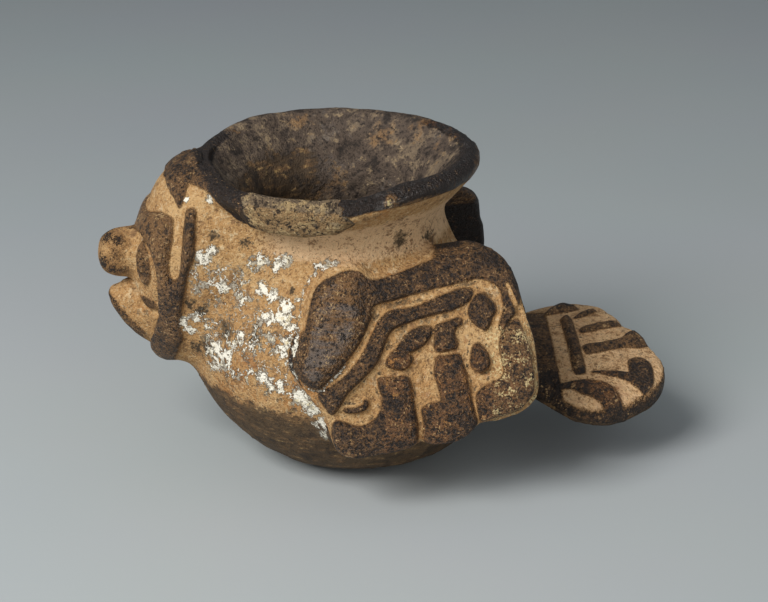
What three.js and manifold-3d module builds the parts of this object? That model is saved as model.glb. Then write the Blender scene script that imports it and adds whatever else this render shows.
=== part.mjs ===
// Bird effigy jar of low-fired clay. Millimetres, +Z up. The jar stands on z = 0, its head
// looks along -X, its tail points along +X and its left wing is on the -Y side.
import * as THREE from 'three';
import { mergeVertices } from 'three/addons/utils/BufferGeometryUtils.js';
import Module from 'manifold-3d';

const wasm = await Module();
wasm.setup();

// Jar sizes
const FOOT_RADIUS = 15;
const BELLY_RADIUS = 36.8;
const BELLY_HEIGHT = 26;
const NECK_RADIUS = 24.2;
const LIP_RADIUS = 33.4;
const JAR_HEIGHT = 74;
const FLARE_HEIGHT = 16;
const NECK_DEPTH = 5;
const LIP_HEIGHT = 6;
const LIP_TURN = 4;
const LIP_UNDERCUT = 1.5;
const LIP_SAG = 3;
const WALL = 5.3;
const AXIS_X = -1;
const LEAN = 2.4;
const FOOT_SHIFT = 3;
const LUTING_GAP = 0.3;
const JOINT_LAP = 3;

// Sizes of the rough roll under the front left of the lip
const ROLL_DROP = 3.8;
const ROLL_SINK = 1.4;
const ROLL_THICKNESS = 2.1;
const ROLL_HALF_HEIGHT = 4;

// Head sizes, measured from the front of the belly and the top of the jar
const HEAD_DEPTH = 13.2;
const HEAD_HALF_WIDTH = 16;
const HEAD_FOOT = 24;
const CROWN_DROP = 1.4;
const HEAD_SEAT = 4.8;
const HEAD_ROOT = 20;
const HEAD_ROOT_SPREAD = 4.5;
const BEAK_REACH = 7.4;
const UPPER_BEAK_TALL = 6;
const UPPER_BEAK_WIDE = 6;
const LOWER_BEAK_TALL = 7.4;
const LOWER_BEAK_WIDE = 6.2;
const BAND_HEIGHT = 1.9;
const EYE_HEIGHT = 1.6;
const CROWN_HEIGHT = 1.1;

// Wing sizes
const WING_LEAD = 16.3;
const WING_LENGTH = 53.6;
const WING_FOOT = 14.2;
const WING_TOP_DROP = 1;
const WING_ARC = 59;
const WING_ARC_FOOT = 10;
const WING_STANDOFF = 4.7;
const WING_SPLAY = 0.12;
const WING_PROUD = 1.8;
const WING_BLEND = 2;
const WING_THICKNESS = 5.2;
const WING_ROOT_DEPTH = 6;
const WING_ROOT_END = 8;
const WING_ROOT_FADE = 12;
const WING_RELIEF = 2;
const LOBE_RELIEF = 2.4;

// Tail sizes, measured from the back of the belly
const TAIL_REACH = 37.2;
const TAIL_HALF_WIDTH = 25.6;
const TAIL_TOP = 23.6;
const TAIL_DROOP = 4.3;
const TAIL_TWIST = 0.125;
const TAIL_THICKNESS = 5;
const TAIL_RELIEF = 1.3;

const ROUND_STEPS = 32;
const NECK_HEIGHT = JAR_HEIGHT - FLARE_HEIGHT;
const SHOULDER_TOP = NECK_HEIGHT - NECK_DEPTH;
const NECK_TOP = JAR_HEIGHT - LIP_HEIGHT;
const HEAD_TOP = JAR_HEIGHT - CROWN_DROP;
const WING_HEIGHT = NECK_HEIGHT - WING_TOP_DROP - WING_FOOT;
const BELLY_FRONT = AXIS_X - BELLY_RADIUS;
const BELLY_BACK = AXIS_X + BELLY_RADIUS;

// Welds a closed surface, drops its flat triangles and turns its faces outward
function weld(geometry) {
  geometry.deleteAttribute('normal');
  geometry.deleteAttribute('uv');
  const welded = mergeVertices(geometry, 1e-4);
  const corners = welded.getIndex().array;
  const spots = welded.getAttribute('position');
  const kept = [];
  let volume = 0;
  const p = new THREE.Vector3();
  const q = new THREE.Vector3();
  const r = new THREE.Vector3();
  for (let i = 0; i < corners.length; i += 3) {
    const [a, b, c] = [corners[i], corners[i + 1], corners[i + 2]];
    if (a === b || b === c || c === a) continue;
    kept.push(a, b, c);
    p.fromBufferAttribute(spots, a);
    q.fromBufferAttribute(spots, b);
    r.fromBufferAttribute(spots, c);
    volume += p.dot(q.cross(r));
  }
  if (volume < 0) kept.reverse();
  welded.setIndex(kept);
  return welded;
}

// Makes a body that can be joined and cut
function body(geometry) {
  const welded = weld(geometry);
  return new wasm.Manifold(new wasm.Mesh({
    numProp: 3,
    vertProperties: Float32Array.from(welded.getAttribute('position').array),
    triVerts: Uint32Array.from(welded.getIndex().array),
  }));
}

// Joins a list of bodies into one
function join(bodies) {
  return bodies.reduce((sum, next) => sum.add(next));
}

// Closes a row of rings with the same number of corners into one skin
function loft(rings) {
  const around = rings[0].length;
  const positions = [];
  const index = [];
  for (const ring of rings) {
    for (const spot of ring) positions.push(spot.x, spot.y, spot.z);
  }
  for (let i = 0; i + 1 < rings.length; i += 1) {
    for (let j = 0; j < around; j += 1) {
      const a = i * around + j;
      const b = i * around + ((j + 1) % around);
      index.push(a, b, b + around, a, b + around, a + around);
    }
  }
  const ends = [[rings[0], 0, true], [rings.at(-1), (rings.length - 1) * around, false]];
  for (const [ring, start, turned] of ends) {
    const middle = new THREE.Vector3();
    for (const spot of ring) middle.addScaledVector(spot, 1 / around);
    const hub = positions.length / 3;
    positions.push(middle.x, middle.y, middle.z);
    for (let j = 0; j < around; j += 1) {
      const a = start + j;
      const b = start + ((j + 1) % around);
      if (turned) index.push(hub, b, a);
      else index.push(hub, a, b);
    }
  }
  const geometry = new THREE.BufferGeometry();
  geometry.setAttribute('position', new THREE.Float32BufferAttribute(positions, 3));
  geometry.setIndex(index);
  return body(geometry);
}

// Outside of the jar from the foot over the belly and the neck to the flaring lip
const skinCurve = new THREE.SplineCurve([
  [FOOT_RADIUS, 0],
  ...[[0.18, 0.05], [0.41, 0.15], [0.62, 0.31], [0.83, 0.54], [0.96, 0.79]].map(([out, up]) => [
    THREE.MathUtils.lerp(FOOT_RADIUS, BELLY_RADIUS, out),
    BELLY_HEIGHT * up,
  ]),
  [BELLY_RADIUS, BELLY_HEIGHT],
  ...[[0.03, 0.19], [0.2, 0.375], [0.49, 0.56], [0.75, 0.72], [0.92, 0.87]].map(([inward, up]) => [
    THREE.MathUtils.lerp(BELLY_RADIUS, NECK_RADIUS, inward),
    THREE.MathUtils.lerp(BELLY_HEIGHT, NECK_HEIGHT, up),
  ]),
  [NECK_RADIUS, NECK_HEIGHT],
  ...[[0.12, 0.25], [0.48, 0.5], [0.87, 0.75]].map(([out, up]) => [
    THREE.MathUtils.lerp(NECK_RADIUS, LIP_RADIUS, out),
    THREE.MathUtils.lerp(NECK_HEIGHT, JAR_HEIGHT, up),
  ]),
  [LIP_RADIUS, JAR_HEIGHT - LIP_UNDERCUT],
].map(([x, y]) => new THREE.Vector2(x, y)));
const skinTrace = skinCurve.getPoints(240);

// Outside radius of the jar at a height
function skinRadius(z) {
  if (z <= 0) return FOOT_RADIUS;
  const i = skinTrace.findIndex((spot) => spot.y >= z);
  if (i < 1) return skinTrace.at(-1).x;
  const [low, high] = [skinTrace[i - 1], skinTrace[i]];
  return THREE.MathUtils.lerp(low.x, high.x, (z - low.y) / (high.y - low.y));
}

// Point of the wall section that lies a depth under the skin at a height
function wallPoint(z, depth) {
  const slope = skinRadius(z + 0.4) - skinRadius(Math.max(z - 0.4, 0.01));
  const normal = new THREE.Vector2(0.8, -slope).normalize();
  return new THREE.Vector2(skinRadius(z), z).addScaledVector(normal, -depth);
}

// The jar leans: its axis drifts towards the head from the belly up. Its foot lies a little nearer
// the tail, which only the outside of the wall follows.
function axisX(z, outside = 1) {
  const { smoothstep } = THREE.MathUtils;
  const foot = FOOT_SHIFT * outside * (1 - smoothstep(z, 0, BELLY_HEIGHT));
  return AXIS_X + foot - LEAN * smoothstep(z, BELLY_HEIGHT, JAR_HEIGHT);
}

// Height of a spot of the mouth after the lip sank over the head and the left side. Degrees run
// round the jar from its left side, with the head at -90.
const SAG_DEGREES = [-150, -80, -5, 30];
function sunkHeight(x, y, z) {
  const { smoothstep } = THREE.MathUtils;
  const [starts, full, fades, ends] = SAG_DEGREES;
  const degrees = THREE.MathUtils.radToDeg(Math.atan2(x, -y));
  const around = smoothstep(degrees, starts, full) * (1 - smoothstep(degrees, fades, ends));
  const share = around * smoothstep(Math.hypot(x, y), 0, WALL);
  return z - LIP_SAG * share * smoothstep(z, NECK_HEIGHT, JAR_HEIGHT - LIP_SAG);
}

// Turns a section about the leaning axis
function turn(section) {
  const geometry = new THREE.LatheGeometry(section, ROUND_STEPS);
  geometry.rotateX(Math.PI / 2);
  const spots = geometry.getAttribute('position');
  for (let i = 0; i < spots.count; i += 1) {
    const [x, y, z] = [spots.getX(i), spots.getY(i), spots.getZ(i)];
    const outside = THREE.MathUtils.smoothstep(Math.hypot(x, y), skinRadius(z) - WALL, skinRadius(z));
    spots.setXYZ(i, x + axisX(z, outside), y, sunkHeight(x, y, z));
  }
  return body(geometry);
}

// Evenly spaced values from one end to the other
function steps(from, to, count) {
  return Array.from({ length: count + 1 }, (_, i) => THREE.MathUtils.lerp(from, to, i / count));
}

// Heights of the rows of corners on the outside of each ring of the jar
const bowlTop = BELLY_HEIGHT - LUTING_GAP;
const bowlRows = [0, 0.04, 0.14, 0.3, 0.5, 0.75, 1].map((share) => bowlTop * share);
const shoulderRows = steps(BELLY_HEIGHT, SHOULDER_TOP - LUTING_GAP, 5);
const neckRows = steps(SHOULDER_TOP, NECK_TOP, 5);
const lipFoot = NECK_TOP + LUTING_GAP;

// Ring of jar wall over its rows, with joints that slope down into the jar
function wallRing(rows) {
  const outside = rows.map((z) => wallPoint(z, 0));
  const inside = rows.toReversed().map((z) => wallPoint(z - JOINT_LAP, WALL));
  return turn([...outside, ...inside, outside[0].clone()]);
}

// Bowl pressed in one piece, up to the widest line of the belly
function baseBowl() {
  const outside = bowlRows.map((z) => wallPoint(z, 0));
  const inside = bowlRows.toReversed().map((z) => wallPoint(z * (1 - JOINT_LAP / bowlTop), WALL));
  return turn([new THREE.Vector2(0, 0), ...outside, ...inside, new THREE.Vector2(0, WALL)]);
}

// The whole outside of the jar and the air over its mouth as a plug, for fitting what is luted on it
function jarPlug(grow) {
  const outside = [...bowlRows, ...shoulderRows, ...neckRows, lipFoot].map((z) => wallPoint(z, -grow));
  const below = new THREE.Vector2(0, -grow);
  const rim = lipSection(grow, false);
  const above = rim.at(-1).clone().setY(rim.at(-1).y + FLARE_HEIGHT);
  return turn([below, ...outside, ...rim, above, new THREE.Vector2(0, above.y)]);
}

// The neck as a plug, up to the joint under the lip
function neckPlug() {
  const outside = [...neckRows, lipFoot].map((z) => wallPoint(z, -LUTING_GAP));
  const joint = wallPoint(lipFoot - JOINT_LAP, WALL);
  return turn([new THREE.Vector2(0, outside[0].y), ...outside, joint, new THREE.Vector2(0, joint.y)]);
}

// Rounded edge of the lip from outside over the crest; a plug ends at its highest point
function lipSection(grow, whole) {
  const turnHeight = JAR_HEIGHT - LIP_TURN;
  const middle = wallPoint(turnHeight, WALL / 2);
  const across = wallPoint(turnHeight, 0).sub(middle);
  const count = 8;
  const last = whole ? count : count * 0.75;
  return steps(0, (Math.PI * last) / count, last).map((angle) => {
    const arm = across.clone().rotateAround(new THREE.Vector2(), angle);
    return middle.clone().addScaledVector(arm, 1 + grow / (WALL / 2));
  });
}

// Thick roll of clay under the front left of the lip, which hangs lower than the rest
const ROLL_DEGREES = [-52, 1];
function lipRoll(grow) {
  const [starts, ends] = ROLL_DEGREES;
  const rings = steps(starts, ends, 10).map((degrees) => {
    const angle = THREE.MathUtils.degToRad(degrees);
    const share = Math.min(1, (ends + 0.5 - degrees) / 5, (degrees - starts + 4) / 16);
    const out = new THREE.Vector3(Math.sin(angle), -Math.cos(angle), 0);
    return steps(0, 2 * Math.PI, 10).slice(0, -1).map((around) => {
      const middle = skinRadius(JAR_HEIGHT - ROLL_DROP) - ROLL_SINK;
      const radius = middle + (ROLL_THICKNESS * share + grow) * Math.cos(around);
      const height = JAR_HEIGHT - LIP_SAG - ROLL_DROP;
      const z = height + (ROLL_HALF_HEIGHT * share + grow) * Math.sin(around);
      return out.clone().multiplyScalar(radius).add(new THREE.Vector3(axisX(z), 0, z));
    });
  });
  return loft(rings);
}

// Lip coil with its roll
function lipCoil() {
  const outside = [wallPoint(lipFoot, 0), ...lipSection(0, true)];
  const inside = wallPoint(lipFoot - JOINT_LAP, WALL);
  const roll = lipRoll(0).subtract(neckPlug());
  return turn([...outside, inside, outside[0].clone()]).add(roll);
}

// Turns a line drawn in hundredths of a width and a height into mm
function drawn(line, [left, width], [foot, height]) {
  return line.map(([across, up, ...rest]) => [
    left + (across * width) / 100,
    foot + (up * height) / 100,
    ...rest,
  ]);
}

// Height over the chin, given in hundredths of the height of the head
const headSpan = [HEAD_FOOT, HEAD_TOP - HEAD_FOOT];
function headHeight(up) {
  return headSpan[0] + (up * headSpan[1]) / 100;
}

// Head core: height, reach ahead of the belly and half width, all as shares of the full size
const headLevels = [
  [0, 0.46, 0.4],
  [6.2, 0.66, 0.62],
  [14.4, 0.8, 0.77],
  [24.7, 0.9, 0.88],
  [37, 0.97, 0.95],
  [49.4, 1, 1],
  [61.7, 0.955, 1],
  [70, 0.8, 0.98],
  [78.2, 0.645, 0.94],
  [86.4, 0.51, 0.85],
  [92.6, 0.34, 0.71],
  [97.9, 0.09, 0.53],
  [100, -0.14, 0.31],
].map(([up, reach, wide]) => [headHeight(up), reach, wide]);
const HEAD_BACK = BELLY_FRONT + HEAD_SEAT;

// Reach of the face and half width of the head at a height
function headSize(z) {
  const i = THREE.MathUtils.clamp(headLevels.findIndex((level) => level[0] >= z), 1, headLevels.length - 1);
  const [low, high] = [headLevels[i - 1], headLevels[i]];
  const share = THREE.MathUtils.clamp((z - low[0]) / (high[0] - low[0]), 0, 1);
  return {
    ahead: HEAD_SEAT + HEAD_DEPTH * THREE.MathUtils.lerp(low[1], high[1], share),
    half: HEAD_HALF_WIDTH * THREE.MathUtils.lerp(low[2], high[2], share),
  };
}

// Head core as a loft: round in front, spreading into the jar wall behind
function headCore(grow) {
  const rings = headLevels.map(([level], i) => {
    const { ahead, half } = headSize(level);
    const z = level + (i === 0 ? -grow : 0) + (i === headLevels.length - 1 ? grow : 0);
    const front = steps(-90, 90, 14).map((degrees) => {
      const angle = THREE.MathUtils.degToRad(degrees);
      const x = HEAD_BACK - (ahead + grow) * Math.cos(angle);
      return new THREE.Vector3(x, (half + grow) * Math.sin(angle), z);
    });
    const root = [[1, 1], [0.5, 0.67]].map(([back, spread]) => [
      HEAD_BACK + back * HEAD_ROOT,
      half + spread * HEAD_ROOT_SPREAD + grow,
    ]);
    const left = root.map(([x, y]) => new THREE.Vector3(x, -y, z));
    const right = root.map(([x, y]) => new THREE.Vector3(x, y, z)).reverse();
    return [...left, ...front, ...right];
  });
  return loft(rings);
}

// Spot on the face: u runs round the head from the beak in mm, v is the height
const HEAD_ROUND = (HEAD_SEAT + HEAD_DEPTH + HEAD_HALF_WIDTH) / 2;
function onHead(side) {
  return (u, v, depth) => {
    const { ahead, half } = headSize(v);
    const angle = u / HEAD_ROUND;
    const normal = new THREE.Vector3(-Math.cos(angle) / ahead, side * Math.sin(angle) / half, 0).normalize();
    const spot = new THREE.Vector3(HEAD_BACK - ahead * Math.cos(angle), side * half * Math.sin(angle), v);
    return spot.addScaledVector(normal, -depth);
  };
}

// Turns a line of [degrees round the head, hundredths of its height, half width] into mm
function headLine(line) {
  return drawn(line, [0, THREE.MathUtils.degToRad(100) * HEAD_ROUND], headSpan);
}

// Strip of clay laid on a face along a line of [u, v, half width], round on top and at its ends
function strip(line, height, place) {
  const curve = new THREE.CatmullRomCurve3(line.map((spot) => new THREE.Vector3(...spot)));
  const stations = curve.getPoints(line.length - 1).map((spot) => [spot, 1, 1]);
  const ends = [[0.95, 0.3, 0.35], [0.62, 0.75, 0.85]].map(([past, wide, tall]) => {
    const [first, last] = [curve.getPoint(0), curve.getPoint(1)];
    const [headOn, tailOn] = [0, 1].map((end) => curve.getTangent(end).setZ(0).normalize());
    return [
      [first.clone().addScaledVector(headOn, -past * first.z), wide, tall],
      [last.clone().addScaledVector(tailOn, past * last.z), wide, tall],
    ];
  });
  const row = [ends[0][0], ends[1][0], ...stations, ends[1][1], ends[0][1]];
  const rings = row.map(([spot, wide, tall], i) => {
    const before = row[Math.max(i - 1, 0)][0];
    const after = row[Math.min(i + 1, row.length - 1)][0];
    const along = new THREE.Vector2(after.x - before.x, after.y - before.y).normalize();
    const section = [[-1, -0.7], [-0.72, 0.72], [0, 1], [0.72, 0.72], [1, -0.7]];
    return section.map(([across, rise]) => {
      const offset = across * spot.z * wide;
      return place(spot.x - along.y * offset, spot.y + along.x * offset, -rise * height * tall);
    });
  });
  return loft(rings);
}

// Smooth closed outline through its corner points
function outline(points, count) {
  const corners = points.map(([u, v]) => new THREE.Vector3(u, v, 0));
  const curve = new THREE.CatmullRomCurve3(corners, true, 'centripetal');
  return curve.getPoints(count).slice(0, -1);
}

// Plate with a rounded edge over an outline; thickness is a function of the spot
function plate(edge, [u, v], place, thickness) {
  const middle = new THREE.Vector3(u, v, 0);
  const rows = [
    [0.3, 0], [0.55, 0], [0.78, 0], [0.95, 0.03], [1, 0.35], [0.98, 0.85], [0.85, 1], [0.4, 1],
  ];
  return loft(rows.map(([out, deep]) => edge.map((spot) => {
    const here = middle.clone().lerp(spot, out);
    return place(here.x, here.y, deep * thickness(here.x, here.y));
  })));
}

// Stubby beaks. A station gives how far ahead of the face it lies as a share of the reach, its lift,
// its half height and its half width, all as shares of the full size.
function beak(stations, height, fullTall, fullWide, grow) {
  const face = BELLY_FRONT - HEAD_DEPTH;
  return loft(stations.map(([ahead, lift, tall, wide], i) => {
    const x = face - ahead * BEAK_REACH - (i === stations.length - 1 ? grow : 0);
    return steps(0, 2 * Math.PI, 14).slice(0, -1).map((angle) => new THREE.Vector3(
      x,
      (wide * fullWide + grow) * Math.cos(angle),
      height + lift * fullTall + (tall * fullTall + grow) * Math.sin(angle),
    ));
  }));
}

function upperBeak(grow) {
  return beak([
    [-0.68, 0, 1, 1],
    [0, -0.02, 0.97, 0.93],
    [0.42, -0.03, 0.92, 0.87],
    [0.7, -0.05, 0.77, 0.75],
    [0.9, -0.08, 0.53, 0.55],
    [1, -0.12, 0.27, 0.28],
  ], headHeight(54.7), UPPER_BEAK_TALL, UPPER_BEAK_WIDE, grow);
}

function lowerBeak(grow) {
  return beak([
    [-0.81, -0.15, 0.95, 1],
    [-0.27, 0, 1, 0.94],
    [0.14, 0.19, 0.78, 0.81],
    [0.4, 0.31, 0.51, 0.65],
    [0.65, 0.46, 0.27, 0.39],
    [0.74, 0.53, 0.11, 0.16],
  ], headHeight(25.9), LOWER_BEAK_TALL, LOWER_BEAK_WIDE, grow);
}

// Cap over the top of the head, hanging to a point over each cheek. Its side view is drawn in
// hundredths of the depth and the height of the head.
function crown() {
  const side = new THREE.Shape(drawn([
    [-100, 97.6], [-26, 96.8], [-20, 91], [-15, 85.4], [-11, 84.8], [2, 89.5], [11, 96.1],
    [45, 98.1], [45, 115], [-100, 115],
  ], [BELLY_FRONT, HEAD_DEPTH], headSpan).map(([x, z]) => new THREE.Vector2(x, z)));
  const reach = HEAD_HALF_WIDTH + HEAD_ROOT_SPREAD;
  const prism = new THREE.ExtrudeGeometry(side, { depth: 2 * reach, bevelEnabled: false });
  prism.rotateX(Math.PI / 2);
  prism.translate(0, reach, 0);
  return headCore(CROWN_HEIGHT).intersect(body(prism));
}

// Arch of clay over the root of the beak, down both cheeks, thinner over the beak
function browBand(grow) {
  const arm = headLine([
    [14, 73, 2.2], [29, 74.9, 2.6], [44, 71.6, 2.6], [52, 63.4, 2.3], [55, 55.6, 2.1], [55.5, 51.4, 2],
  ]);
  const [middle] = headLine([[0, 71.8, 1.9]]);
  const arch = [...arm.map(([u, v, w]) => [-u, v, w]).reverse(), middle, ...arm]
    .map(([u, v, w]) => [u, v, w + grow]);
  const lift = onHead(1);
  const place = (u, v, depth) => {
    const full = THREE.MathUtils.smoothstep(Math.abs(u), 0, HEAD_ROUND / 2);
    return lift(u, v, depth * THREE.MathUtils.lerp(0.5, 1, full));
  };
  return strip(arch, BAND_HEIGHT + grow, place);
}

// Strap down the nape that widens into a lappet under the cheek
function napeStrap(side) {
  const line = headLine([[71, 79.4, 1.5], [73, 70, 1.7], [74, 57.6, 1.9], [71, 46.3, 2.4]]);
  const strap = strip(line, BAND_HEIGHT, onHead(side));
  const edge = outline(headLine([
    [50, 46.5], [49, 37], [44, 26.7], [34, 15.4], [32, 7.4], [41, 3.3], [55, 9.1], [63, 18.5],
    [66, 28.8], [72, 37], [80, 44.4], [66, 47.3],
  ]), 28);
  const [middle] = headLine([[54, 27.8]]);
  const lift = onHead(side);
  const pad = plate(edge, middle, (u, v, depth) => lift(u, v, depth - BAND_HEIGHT), () => 2 * BAND_HEIGHT);
  return strap.add(pad);
}

// Almond eye
function eye(side) {
  const line = headLine([[30, 62.6, 1.4], [34.6, 55.6, 2.4], [37.4, 48.6, 1.6]]);
  return strip(line, EYE_HEIGHT, onHead(side));
}

// Face of the wing mould: an arc in height that splays from the jar towards the tail
function wingFace(x, z) {
  const rise = Math.min(Math.abs(z - WING_ARC_FOOT), WING_ARC);
  const bow = Math.sqrt(WING_ARC ** 2 - rise ** 2) - WING_ARC;
  const mould = BELLY_RADIUS + WING_STANDOFF + bow + WING_SPLAY * x;
  const reach = skinRadius(z) ** 2 - (x - axisX(z)) ** 2;
  const wall = reach > 0 ? Math.sqrt(reach) + WING_PROUD : 0;
  const gap = THREE.MathUtils.clamp((mould - wall) / WING_BLEND, -1, 1);
  return Math.max(mould, wall) + (WING_BLEND * (1 - Math.abs(gap)) ** 2) / 4;
}

function onWing(side) {
  return (x, z, depth) => new THREE.Vector3(x, side * (wingFace(x, z) - depth), z);
}

// Turns a line drawn in hundredths of the length and the height of the wing into mm. Its half widths
// are in hundredths of the height.
function wingLine(line) {
  return drawn(line, [-WING_LEAD, WING_LENGTH], [WING_FOOT, WING_HEIGHT])
    .map(([x, z, ...half]) => [x, z, ...half.map((wide) => (wide * WING_HEIGHT) / 100)]);
}

// Outline of the wing from the leading top corner, down the front edge and round the feather tips
const wingEdge = outline(wingLine([
  [19.8, 93], [8.8, 84.5], [3.4, 65], [0, 48.6], [4.3, 40], [12.9, 23], [16.6, 6], [25.9, 0],
  [40.5, 3], [48.7, 7], [53.2, 8.9], [58, 7.8], [69.6, 12], [75.6, 18.6], [83.4, 20.4], [93.8, 25.2],
  [99.8, 37], [99.4, 56], [96.8, 70], [93.8, 84.5], [88.8, 93], [73, 99.6], [56, 95.6], [36, 91],
]), 36);

// Relief of the wing as lines of [across, up, half width], drawn like its outline
const wingRelief = {
  leadingLobe: [[20.7, 77.1, 14.5], [16.8, 66.1, 15.4], [12.5, 55.6, 13.6], [8, 48.1, 9.1]],
  topBand: [
    [28.5, 82.7, 7], [45.3, 85, 6.1], [57.5, 88.8, 6.3], [69.6, 92.1, 5.6], [80.8, 91.4, 5.4],
    [89, 85.5, 4.4], [92.4, 75.5, 3], [95, 62.6, 2.1],
  ],
  secondRidge: [
    [17.7, 33.6, 4.9], [24.8, 41.6, 4.4], [30.8, 52.3, 4.2], [36.4, 63.1, 4.2], [42.7, 69.6, 3.7],
    [52.8, 72.9, 3.5], [63.4, 76.6, 3.5], [70.7, 79.9, 3],
  ],
  longCovert: [[47.6, 60, 3.5], [54.3, 63.8, 3.3]],
  roundCovert: [[42.2, 51.6, 4.7], [45.1, 52.6, 4.7]],
  hookedCovert: [[62.1, 61, 4.9], [67, 67.3, 2.8]],
  ovalCovert: [[74.8, 53.5, 4.4], [77.4, 49.8, 4.4]],
  upperCovert: [[75.9, 73.4, 3.7], [78.2, 69.4, 3.5]],
  rearCovert: [[83.8, 73.4, 3.3], [85.3, 69.2, 3]],
  firstFeather: [[40.9, 38.3, 7.2], [42.2, 27.6, 8.9], [42.4, 14.5, 9.3]],
  firstFeatherTip: [[23.7, 11, 7.7], [36, 10.3, 7.7]],
  secondFeather: [[62.7, 50.5, 5.4], [64.6, 39.3, 7.2], [64.6, 26.2, 10.3], [64.2, 22.9, 11]],
  thirdFeather: [[90.1, 65, 4.4], [90.9, 52.1, 7], [89, 40.4, 9.3], [86.9, 35.5, 10.7]],
  crescent: [[23.3, 27.8, 1.9], [28.2, 30.4, 1.9]],
};

// Press-moulded wing: a curved plate with its feathers in relief. The front half has a deep
// root that is luted to the jar, the rear half stands free.
function wing(side) {
  const depth = (x, z) => {
    const front = 1 - THREE.MathUtils.smoothstep(x, WING_ROOT_END, WING_ROOT_END + WING_ROOT_FADE);
    const above = THREE.MathUtils.smoothstep(z, WING_FOOT, WING_FOOT + WING_ROOT_FADE);
    return WING_THICKNESS + WING_ROOT_DEPTH * front * above;
  };
  const [middle] = wingLine([[51, 51]]);
  const slab = plate(wingEdge, middle, onWing(side), depth);
  const ridges = Object.entries(wingRelief).map(([name, line]) => {
    const height = name === 'leadingLobe' ? LOBE_RELIEF : WING_RELIEF;
    return strip(wingLine(line), height, onWing(side));
  });
  return join([slab, ...ridges]);
}

// Arched fan of the tail, drooping to both sides and twisted down to the left. The x of its lines is
// measured from the belly.
function onTail(x, y, depth) {
  const droop = TAIL_DROOP * (Math.abs(y) / TAIL_HALF_WIDTH) ** 3;
  return new THREE.Vector3(BELLY_BACK + x, y, TAIL_TOP + TAIL_TWIST * y - droop - depth);
}

// Turns a line drawn in hundredths of the reach and the half width of the tail into mm
function tailLine(line) {
  return drawn(line, [0, TAIL_REACH], [0, TAIL_HALF_WIDTH]);
}

function tailFan() {
  const edge = outline(tailLine([
    [-23.7, -41], [0.5, -51], [18, -73], [33.6, -91], [47.6, -99], [62.4, -99.5], [78.5, -91],
    [91, -77], [98.4, -59], [100, -40], [98, -20], [94.5, 3], [88, 20], [82, 41], [76, 68],
    [66.4, 88], [53, 94.5], [39.5, 84], [26, 68], [3.2, 51], [-23.7, 41],
  ]), 36);
  const slab = plate(edge, [0.455 * TAIL_REACH, 0], onTail, () => TAIL_THICKNESS);
  const bars = [
    [[44.4, -52, 1.4], [45.5, -5, 1.5], [47, 36.7, 1.4]],
    [[55.4, -23, 1.4], [69.4, -17.6, 1.6], [82.3, -11, 2.2]],
    [[57, 12.5, 1.1], [74.7, 21.5, 1.3]],
    [[57, 42.6, 1], [65, 49.6, 1]],
    [[59, -58, 1], [69.9, -64, 1.4], [79.6, -72.7, 2.2]],
    [[81.2, -51, 1.8], [85, -61, 1.8]],
    [[39.8, -74.6, 1.5], [50.5, -77.7, 1.8], [59, -86, 1.8]],
    [[39.8, 60.2, 1.5], [50, 68, 1.7]],
  ];
  return join([slab, ...bars.map((line) => strip(tailLine(line), TAIL_RELIEF, onTail))]);
}

const group = new THREE.Group();
group.name = 'bird_effigy_jar';

// Adds one fired piece with its own clay colour
function piece(name, shape, color, roughness) {
  const mesh = shape.getMesh();
  const geometry = new THREE.BufferGeometry();
  const positions = [];
  for (let i = 0; i < mesh.vertProperties.length; i += mesh.numProp) {
    positions.push(...mesh.vertProperties.slice(i, i + 3));
  }
  geometry.setAttribute('position', new THREE.Float32BufferAttribute(positions, 3));
  geometry.setIndex(Array.from(mesh.triVerts));
  geometry.computeVertexNormals();
  const part = new THREE.Mesh(geometry, new THREE.MeshStandardMaterial({ color, roughness, metalness: 0 }));
  part.name = name;
  group.add(part);
}

// Jar wall, built up from the bowl
piece('base_bowl', baseBowl(), '#5d4630', 0.85);
piece('shoulder_wall', wallRing(shoulderRows), '#a88a62', 0.85);
piece('neck', wallRing(neckRows), '#a0835c', 0.85);
piece('lip_coil', lipCoil(), '#3d3833', 0.75);

// Head and what is laid on it
const plug = jarPlug(LUTING_GAP);
const lipRoom = lipRoll(LUTING_GAP);
const headRoom = headCore(LUTING_GAP);
piece('head', headCore(0).subtract(plug).subtract(lipRoom), '#b09068', 0.85);
piece('crown', crown().subtract(headRoom).subtract(plug).subtract(lipRoom), '#403831', 0.8);
const beakRoom = upperBeak(LUTING_GAP);
const browRoom = browBand(LUTING_GAP);
piece('brow_band', browBand(0).subtract(headRoom).subtract(beakRoom), '#3c342d', 0.8);
for (const [name, side] of [['left', -1], ['right', 1]]) {
  piece(`nape_strap_${name}`, napeStrap(side).subtract(headRoom).subtract(browRoom), '#3f362e', 0.8);
  piece(`eye_${name}`, eye(side).subtract(headRoom).subtract(beakRoom), '#352e29', 0.7);
}
piece('upper_beak', upperBeak(0).subtract(headRoom), '#8f7452', 0.8);
piece('lower_beak', lowerBeak(0).subtract(headRoom).subtract(beakRoom), '#a2845c', 0.85);

// Wings and tail
piece('wing_left', wing(-1).subtract(plug), '#54402e', 0.8);
piece('wing_right', wing(1).subtract(plug), '#54402e', 0.8);
piece('tail_fan', tailFan().subtract(plug), '#8a6b4a', 0.85);

export default group;
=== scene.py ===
# Bird effigy jar of fired clay, as the finished and worn piece.
# The forms are in millimetres in the model's own frame: +Z up, the head along -X, the tail
# along +X and the left wing on the -Y side. They turn into metres when a piece is meshed.
import math

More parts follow.
